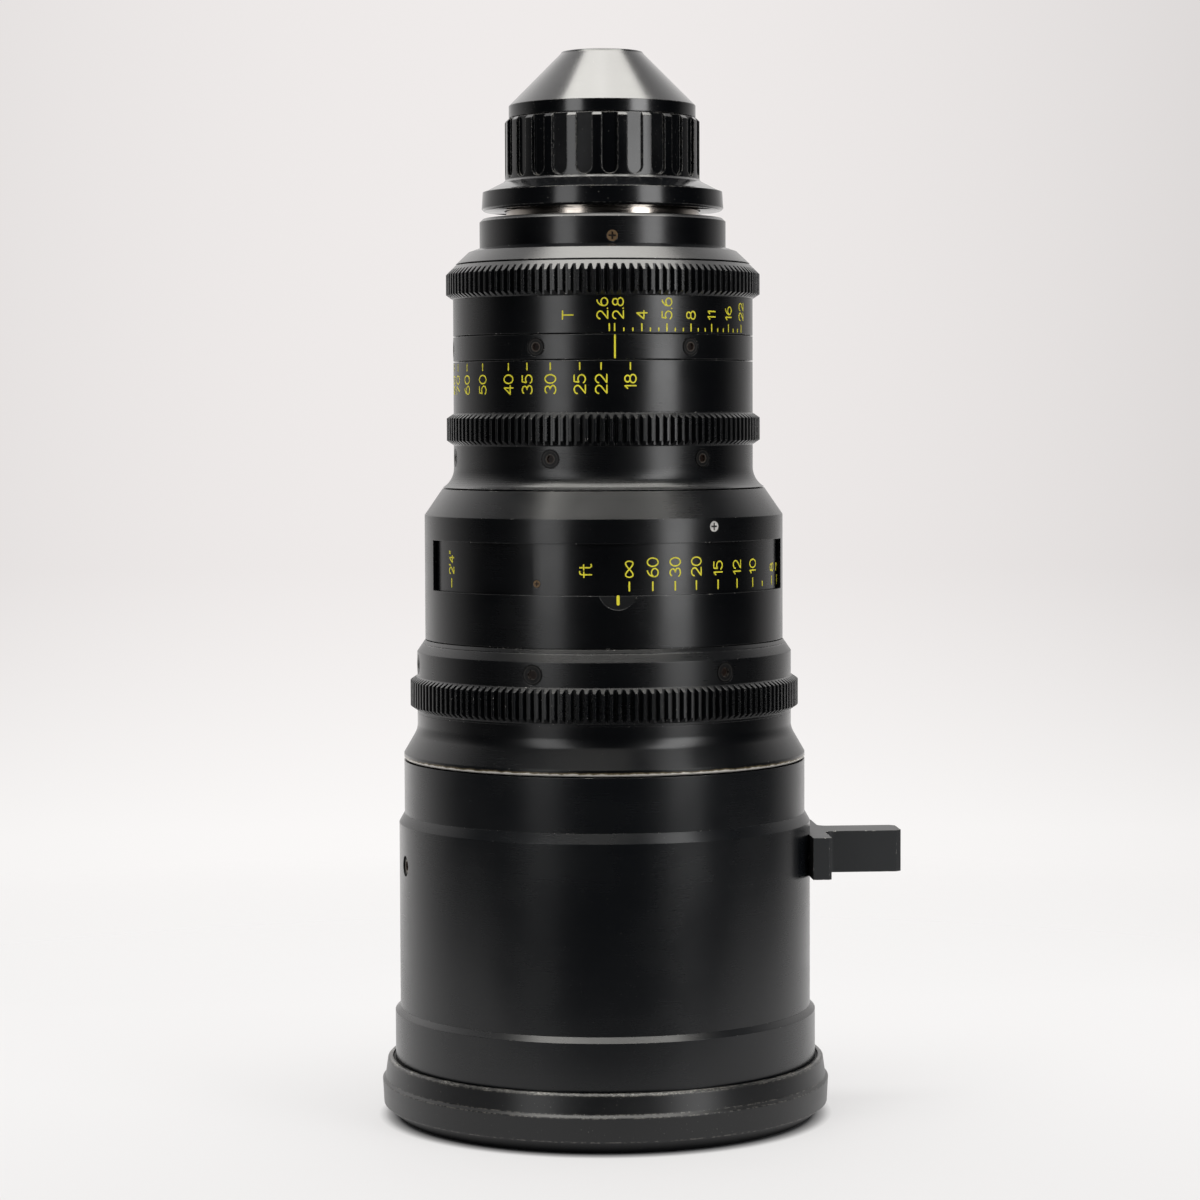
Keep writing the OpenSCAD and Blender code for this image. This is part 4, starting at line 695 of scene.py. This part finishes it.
class ZOOM_LENS_OT_anodised(bpy.types.Operator):
    """Black anodised aluminium on the outer rings, with the worn edge of the focus ring"""

    bl_idname = "zoom_lens.anodised"
    bl_label = "Anodised metal"

    def execute(self, context):
        f = context.scene.lens_finishes
        black = partial(metal_finish, colour=f.anodised, bare=f.bare, roughness=0.23)
        # Hard black anodising on turned rings: a deep satin black with crisp upright streaks
        dress(black("anodised_rings"), *OUTER)
        # The same on milled teeth: no rubbed edges, hardly any dust
        dress(black("anodised_gears", roughness=0.25, wear=0.0, dust=0.06), *GEARS)
        # A bluer batch on the front barrel, with thin broken lines of metal on its edges
        dress(black("anodised_barrel", colour=f.barrel, roughness=0.24, edge_mm=0.14), *BARREL)
        # The body's notch below the window is blasted, so that the index line stands out
        low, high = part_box("body_shell")
        margin = 0.3 * MM
        notch = (high.x - margin, low.z + WINDOW_SILL + margin)
        dress(black("anodised_body", notch=notch), "body_shell")
        # The flare's lower edge is rubbed through to silver, with a brown fringe above
        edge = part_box("focus_hub")[0].z
        dress(black("anodised_worn_edge", low_edge=edge, tarnish=f.tarnish), "focus_hub")
        # Dull black inside, against stray light
        dress(black("anodised_matt_inner", colour=f.inner, roughness=0.55, wear=0.05, dust=0.1),
              *INNER)
        return {"FINISHED"}


class ZOOM_LENS_OT_caps(bpy.types.Operator):
    """Moulded black plastic on the caps, and the flock liner of the front cap"""

    bl_idname = "zoom_lens.caps"
    bl_label = "Caps"

    def execute(self, context):
        f = context.scene.lens_finishes
        # Moulded plastic, handled for years: satin black, with grey scuffs on the edges and lint
        # in the step under the front ring
        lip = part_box("front_cap")[1].z - 1.1 * MM
        dress(metal_finish("cap_black_scuffed", f.cap, to_linear("#8f8c86"), 0.3, wear=0.62,
                           dust=0.6, ring_mm=0.8, edge_mm=0.7, lint_above=lip), "front_cap")
        # Polished plastic on the rear cap: a clear gloss that mirrors the lamps. The grey along its
        # edges and flutes is partly wear and partly painted highlight
        glossy = partial(metal_finish, colour=f.cap, bare=to_linear("#5d5b57"), roughness=0.15,
                         dust=0.4, ring_mm=0.6, bump=0.06)
        dress(glossy("rear_cap_plug_black", wear=0.5, edge_mm=0.4, ior=1.64), "rear_cap")
        dress(glossy("rear_cap_ring_black", wear=0.6, edge_mm=0.45), "rear_cap_ring")
        dress(self.flock(f.felt), "cap_liner")
        return {"FINISHED"}

    def flock(self, colour):
        """Flocked rayon: short fibres that take the light softly and stay nearly black."""
        material, node = start_material("flock_liner")
        fibre = noise(node, node("TexCoord", out="Object"), 0.3, 3.0)
        tone = node("Mix", {0: fibre, 6: rgba(colour), 7: scaled(colour, 2.5)}, **COLOUR_MIX)
        relief = node("Bump", {"Strength": 0.6, "Distance": 0.1 * MM, "Height": fibre})
        shader = node("BsdfPrincipled", {"Base Color": tone, "Roughness": 0.95, "Normal": relief,
                                         "Sheen Weight": 0.3})
        node("OutputMaterial", {"Surface": shader})
        return material


class ZOOM_LENS_OT_foot(bpy.types.Operator):
    """Dark grey matt coat on the support foot"""

    bl_idname = "zoom_lens.foot"
    bl_label = "Support foot"

    def execute(self, context):
        f = context.scene.lens_finishes
        # Powder coat on milled aluminium: matt, slightly rough, chipped at the corners
        dress(metal_finish("foot_matt_coat", f.foot, f.bare, 0.5, ring_mm=1.2, grain_mm=0.35,
                           wear=0.3, bump=0.25, edge_mm=0.35), "support_foot")
        return {"FINISHED"}


class ZOOM_LENS_OT_metals(bpy.types.Operator):
    """Steel of the mount and pins, blackened and bright screws, brass"""

    bl_idname = "zoom_lens.metals"
    bl_label = "Steel and brass"

    def execute(self, context):
        f = context.scene.lens_finishes
        # Ground stainless steel: bright, with fine rings that blur its reflections
        dress(bright_metal("mount_steel", f.steel, 0.18), *STEEL)
        # Small cross head screws: dull with age, their cross recess painted nearly black as shade
        for node, name, colour in (("drum_screw", "drum_screw_brass", f.brass),
                                   ("housing_screw", "housing_screw_brass", f.brass),
                                   ("body_screw", "body_screw_silver", to_linear("#d2d0cc"))):
            recess = reach(node) - 0.15 * MM
            dress(bright_metal(name, colour, 0.45, stain=0.7, metallic=0.3, recess=recess), node)
        # Oiled bearing bronze: a soft golden brown
        dress(bright_metal("cam_bronze", to_linear("#8c7a52"), 0.35), "cam_drum")
        # Black oxide on countersunk socket screws: a dark brown socket, part rust and part painted
        # shade, a painted highlight on its rim, then a dark face, a painted highlight line near the
        # edge
        # and painted shade in the gap round the head. Angle of the first, head's radius:
        for node, phi, head in (("focus_screws", -25.9, 3.15), ("zoom_screws", -24.4, 2.9),
                                ("index_screws", -30.0, 2.8)):
            screw_finish("oxide_" + node, node, phi, 6,
                         ((0.0, "#0e0805"), (1.1, "#24140c"), (1.3, "#4a4540"), (1.6, "#0d0d0d"),
                          (head - 0.8, "#080809"), (head - 0.6, "#2c2b2a"),
                          (head - 0.35, "#000000"), (head, "#000000")))
        # The lock screw: a dark brown socket, part tarnish and part painted shade, a pale ring that
        # is a painted glint, then brown worn metal
        screw_finish("oxide_lock_screw", "barrel_lock_screw", -77.5, 1,
                     ((0.0, "#140d09"), (1.5, "#2d1c12"), (1.8, "#8a857c"), (2.1, "#241d18"),
                      (3.2, "#15110e")))
        return {"FINISHED"}


class ZOOM_LENS_OT_glass(bpy.types.Operator):
    """Coated optical glass"""

    bl_idname = "zoom_lens.glass"
    bl_label = "Glass"

    def execute(self, context):
        """Polished glass, clear with a faint haze, whose coating turns green towards the rim."""
        material, node = start_material("coated_glass")
        clouds = noise(node, node("TexCoord", out="Object"), 14.0, 3.0)
        haze = node("MapRange", (clouds, 0.4, 0.8, 0.0, 0.03))
        facing = node("LayerWeight", {"Blend": 0.35}, "Facing")
        tint = rgba(context.scene.lens_finishes.glass)
        coat = node("Mix", {0: facing, 6: tint, 7: rgba(to_linear("#b7c9b4"))}, **COLOUR_MIX)
        shader = node("BsdfPrincipled", {"Base Color": coat, "Roughness": haze,
                                         "Transmission Weight": 1.0, "IOR": 1.52})
        node("OutputMaterial", {"Surface": shader})
        dress(material, *GLASS)
        return {"FINISHED"}


# Stage

# Where mirrors see the backdrop brightest, in degrees round the lens. How near to that way they
# look, from 0 to 1, and the grey that they see there
GLOW_PHI = -175.5
GLOW = ((0.47, 0.003), (0.587, 0.03), (0.671, 0.19), (0.75, 0.33), (0.82, 0.47), (0.883, 0.58),
        (0.95, 0.72), (1.0, 0.80))
GLOW_TINT = (1.0, 0.98, 0.97)
BACKDROP_PHI = 177.2            # where the camera sees the backdrop palest
BACKDROP_SIDE_SHARE = 0.825     # its tone at the sides, as a share of that
FOOT_SHARE = 0.55               # how far its foot makes up for that
BACKDROP_SIDES = (0.978, 1.0)   # cosines of the angle from there that the tones run between
HORIZON = (-0.045, -0.12)       # slopes of the look between which the backdrop turns into its foot
FLOOR_GAIN = (-0.02, -0.11, 1.0, 1.5)     # slopes, and how much brighter mirrors see below them
CEILING_GAIN = (0.12, 0.5, 1.0, 2.0)      # the same upwards

FLOOR_RADIUS = 1.0
FLOOR_FADE = (0.30, 0.65)       # distances between which the floor fades into the backdrop
FLOOR_GLOW = 0.62               # share of the floor's light that is a painted glow, not from the lamps
PAINTED_CONTACT_SHADOW = (0.066, 0.0725)       # distances between which the painted glow begins under the cap's edge: a painted contact shadow
DARK_REFLECTION_RANGE = (-0.13, -0.22)      # places along Y between which mirrors see the floor painted dark: a painted dark reflection
FLOOR_FRONT_SHADE = (-0.15, 0.2, 0.74, 1.0)    # places along Y, and shares of the floor's colour there: painted shade, darker towards the camera
PAPER_MM = 3.0                  # clouds in the paper, and how dark they are
PAPER_TONE = 0.96

# Name, setting of the radiance, degrees from the camera, distance, width
SIDE_LAMPS = (("softbox_right", "right_lamp", 46.0, 1.15, 0.45),
              ("softbox_left", "left_lamp", -34.5, 1.25, 0.46))
SIDE_LAMPS_Z = 0.58
SIDE_LAMPS_HEIGHT = 1.10
LAMP_TARGET = Vector((0, 0, 0.2))
# Name, setting of the radiance, x, y, width, depth
TOP_LAMPS = (("softbox_top", "top_lamp", 0.0, -0.03, 1.2, 0.62),
             ("softbox_middle", "middle_lamp", -0.065, -0.185, 0.77, 0.31),
             ("softbox_front", "front_lamp", -0.15, -1.0, 0.8, 0.5))
TOP_LAMPS_Z = 1.30
WARM = (1.0, 0.98, 0.93)
WHITE = (1.0, 1.0, 1.0)


def direction(phi):
    """The level unit vector at phi, measured from -Y towards +X, in degrees."""
    return Vector((math.sin(math.radians(phi)), -math.cos(math.radians(phi)), 0.0))


def softbox(name, centre, target, width, height, radiance, tint):
    """An area lamp whose power gives the radiance: power = radiance * pi * area."""
    lamp = bpy.data.lights.new(name, "AREA")
    lamp.color = tint
    lamp.shape = "RECTANGLE"
    lamp.size, lamp.size_y = width, height
    lamp.energy = radiance * math.pi * width * height
    holder = bpy.data.objects.new(name, lamp)
    holder.matrix_world = (Matrix.Translation(centre)
                           @ (target - centre).to_track_quat("-Z", "Y").to_matrix().to_4x4())
    bpy.context.scene.collection.objects.link(holder)


def set_world(stage):
    """Backdrop. The camera sees it plain and pale: darker to the sides, whiter near the floor.
    Reflections see it pale behind the lens and fading to black on the camera's side, as in a dark
    room with a lit backdrop, brighter below the horizon, where the floor would be, and towards
    the ceiling."""
    world = bpy.data.worlds.new("studio")
    world.use_nodes = True
    world.node_tree.nodes.clear()
    node = partial(add_node, world.node_tree)
    way = node("TexCoord", out="Generated")
    height = node("SeparateXYZ", (way,), "Z")
    level = node("VectorMath", (way, (1, 1, 0)), operation="MULTIPLY")
    unit = node("VectorMath", (level,), operation="NORMALIZE")
    near_glow, near_middle = (
        node("VectorMath", (unit, direction(phi)), "Value", operation="DOT_PRODUCT")
        for phi in (GLOW_PHI, BACKDROP_PHI))
    ramp = node("ValToRGB", (node("MapRange", (near_glow, -1, 1)),))
    stops = ramp.node.color_ramp.elements
    stops[0].position, stops[1].position = GLOW[0][0], GLOW[-1][0]
    for place, _ in GLOW[1:-1]:
        stops.new(place)
    for stop, (_, grey) in zip(stops, GLOW):
        stop.color = rgba([grey * c for c in GLOW_TINT])
    lift = node("MapRange", (height, *FLOOR_GAIN))
    ceiling = node("MapRange", (height, *CEILING_GAIN))
    gain = node("Math", (lift, ceiling), operation="MULTIPLY")
    mirrored = node("VectorMath", (ramp, gain), operation="MULTIPLY")
    low = node("MapRange", (height, *HORIZON))
    wall = node("Mix", {0: low, 6: rgba(stage.backdrop), 7: rgba(stage.foot_of_backdrop)},
                **COLOUR_MIX)
    side = node("MapRange", (near_middle, *BACKDROP_SIDES, BACKDROP_SIDE_SHARE, 1.0))
    missing = node("Math", (1.0, side), operation="SUBTRACT")
    regained = node("MapRange", (height, *HORIZON, 0.0, FOOT_SHARE))
    paler = node("Math", (regained, missing), operation="MULTIPLY")
    shade = node("Math", (side, paler), operation="ADD")
    plain = node("VectorMath", (wall, shade), operation="MULTIPLY")
    seen = node("LightPath", out="Is Camera Ray")
    tone = node("Mix", {0: seen, 6: mirrored, 7: plain}, **COLOUR_MIX)
    node("OutputWorld", {"Surface": node("Background", {"Color": tone, "Strength": 1.0})})
    bpy.context.scene.world = world


def floor_material(stage):
    """White sweep: matt paper with a painted glow that keeps the lens's shadow pale, left out just
    under the cap's edge as a painted contact shadow. It fades into the backdrop further out. Glossy
    surfaces see it painted dark in front of the lens, a painted dark reflection as where the table
    ends."""
    material, node = start_material("white_sweep")
    place = node("TexCoord", out="Object")
    depth = node("SeparateXYZ", (place,), "Y")
    away = from_axis(node, place)
    paper = node("MapRange", (noise(node, place, PAPER_MM, 3.0), *SMUDGE_LEVELS, 0.97, 1.0))
    tone = node("Mix", {0: paper, 6: scaled(stage.floor, PAPER_TONE), 7: rgba(stage.floor)},
                **COLOUR_MIX)
    # Painted shade: the floor's colour is darker towards the camera
    tone = node("VectorMath", (tone, node("MapRange", (depth, *FLOOR_FRONT_SHADE))),
                operation="MULTIPLY")
    sheet = node("BsdfPrincipled", {"Base Color": tone, "Roughness": 0.75})
    # Painted contact shadow: no glow just under the cap's edge
    strength = node("MapRange", (away, *PAINTED_CONTACT_SHADOW, 0.0, 0.97))
    painted_glow = node("Emission", {"Color": rgba(stage.foot_of_backdrop), "Strength": strength})
    lit = node("MixShader", (FLOOR_GLOW, sheet, painted_glow))
    # Painted dark reflection: glossy rays see the front of the floor as a near-black sheet
    front = node("MapRange", (depth, *DARK_REFLECTION_RANGE, 0.0, 0.95))
    mirrored = node("LightPath", out="Is Glossy Ray")
    painted_dark_reflection = node("Math", (front, mirrored), operation="MULTIPLY")
    dark = node("BsdfDiffuse", {"Color": (0.01, 0.01, 0.01, 1)})
    lit = node("MixShader", (painted_dark_reflection, lit, dark))
    fade = node("MapRange", (away, *FLOOR_FADE))
    node("OutputMaterial", {"Surface": node("MixShader", (fade, lit, node("BsdfTransparent")))})
    return material


def disc(radius, rings, spokes=96):
    """A flat disc: rings of points at radius * i / rings, closed by a fan at the middle."""
    r = np.linspace(radius / rings, radius, rings)[:, None]
    a = np.linspace(0, 2 * np.pi, spokes, endpoint=False)[None, :]
    grid = np.stack([r * np.cos(a), r * np.sin(a), np.zeros_like(r * a)], axis=-1).reshape(-1, 3)
    i = np.arange(rings - 1)[:, None] * spokes
    j = np.arange(spokes)[None, :]
    k = (j + 1) % spokes
    quads = np.stack([i + j, i + spokes + j, i + spokes + k, i + k], axis=-1).reshape(-1, 4)
    fan = np.stack([np.full(spokes, len(grid)), j[0], k[0]], axis=-1)
    vertices = np.vstack([grid, [[0, 0, 0]]])
    return vertices, quads.tolist() + fan.tolist()


class ZOOM_LENS_OT_stage(bpy.types.Operator):
    """Floor, backdrop, lamps and camera"""

    bl_idname = "zoom_lens.stage"
    bl_label = "Stage"

    def execute(self, context):
        stage = context.scene.lens_stage
        self.add_floor(context, stage)
        set_world(stage)
        self.add_lamps(stage)
        self.add_camera(context, stage)
        context.scene.view_settings.view_transform = "Standard"
        return {"FINISHED"}

    def add_floor(self, context, stage):
        vertices, faces = disc(FLOOR_RADIUS, stage.floor_rings)
        mesh = bpy.data.meshes.new("floor")
        mesh.from_pydata(vertices.tolist(), [], faces)
        mesh.materials.append(floor_material(stage))
        floor = bpy.data.objects.new("floor", mesh)
        context.scene.collection.objects.link(floor)

    def add_lamps(self, stage):
        """Tall softboxes at both sides, aimed at the lens, and lamps overhead that face down."""
        camera_phi = -math.degrees(stage.azimuth)
        for name, setting, phi, distance, width in SIDE_LAMPS:
            place = direction(camera_phi + phi) * distance
            place.z = SIDE_LAMPS_Z
            softbox(name, place, LAMP_TARGET, width, SIDE_LAMPS_HEIGHT, getattr(stage, setting),
                    WHITE)
        for name, setting, x, y, width, depth in TOP_LAMPS:
            place = Vector((x, y, TOP_LAMPS_Z))
            softbox(name, place, Vector((x, y, 0)), width, depth, getattr(stage, setting), WARM)

    def add_camera(self, context, stage):
        """Looks from -Y, turned to the photograph's azimuth, with its pan, pitch and roll."""
        lens = bpy.data.cameras.new("camera")
        lens.sensor_width = 36.0
        lens.lens = stage.focal
        lens.clip_start = 0.05
        camera = bpy.data.objects.new("camera", lens)
        heading = stage.azimuth - stage.pan
        ahead = Vector((math.cos(stage.pitch) * math.sin(heading),
                        math.cos(stage.pitch) * math.cos(heading), -math.sin(stage.pitch)))
        right = Vector((math.cos(heading), -math.sin(heading), 0.0))
        up = right.cross(ahead)
        turn = Matrix((right, up, -ahead)).transposed().to_4x4()
        place = direction(-math.degrees(stage.azimuth)) * stage.distance
        place.z = stage.height
        camera.matrix_world = Matrix.Translation(place) @ turn @ Matrix.Rotation(stage.roll, 4, "Z")
        context.scene.collection.objects.link(camera)
        context.scene.camera = camera


class ZOOM_LENS_PT_panel(bpy.types.Panel):
    """Lists the settings, the pieces and the stage"""

    bl_label = "Zoom Lens"
    bl_idname = "ZOOM_LENS_PT_panel"
    bl_space_type = "VIEW_3D"
    bl_region_type = "UI"
    bl_category = "Zoom Lens"

    def draw(self, context):
        for group in GROUPS:
            box = self.layout.box()
            settings = getattr(context.scene, group)
            for name in settings.__annotations__:
                box.prop(settings, name)
        for operator in OPERATORS:
            self.layout.operator(operator.bl_idname)


GROUPS = {"lens_dials": LensDials, "lens_finishes": LensFinishes, "lens_stage": LensStage}
OPERATORS = (ZOOM_LENS_OT_anodised, ZOOM_LENS_OT_caps, ZOOM_LENS_OT_foot, ZOOM_LENS_OT_metals,
             ZOOM_LENS_OT_glass, ZOOM_LENS_OT_iris_scale, ZOOM_LENS_OT_zoom_scale,
             ZOOM_LENS_OT_focus_scale, ZOOM_LENS_OT_index_marks, ZOOM_LENS_OT_stage)


def register():
    for made in (*GROUPS.values(), *OPERATORS, ZOOM_LENS_PT_panel):
        bpy.utils.register_class(made)
    for name, group in GROUPS.items():
        setattr(bpy.types.Scene, name, PointerProperty(type=group))


def unregister():
    for name in GROUPS:
        delattr(bpy.types.Scene, name)
    for made in reversed((*GROUPS.values(), *OPERATORS, ZOOM_LENS_PT_panel)):
        bpy.utils.unregister_class(made)


def main():
    register()
    for operator in OPERATORS:
        getattr(bpy.ops.zoom_lens, operator.bl_idname.split(".")[1])()


if __name__ == "__main__":
    main()
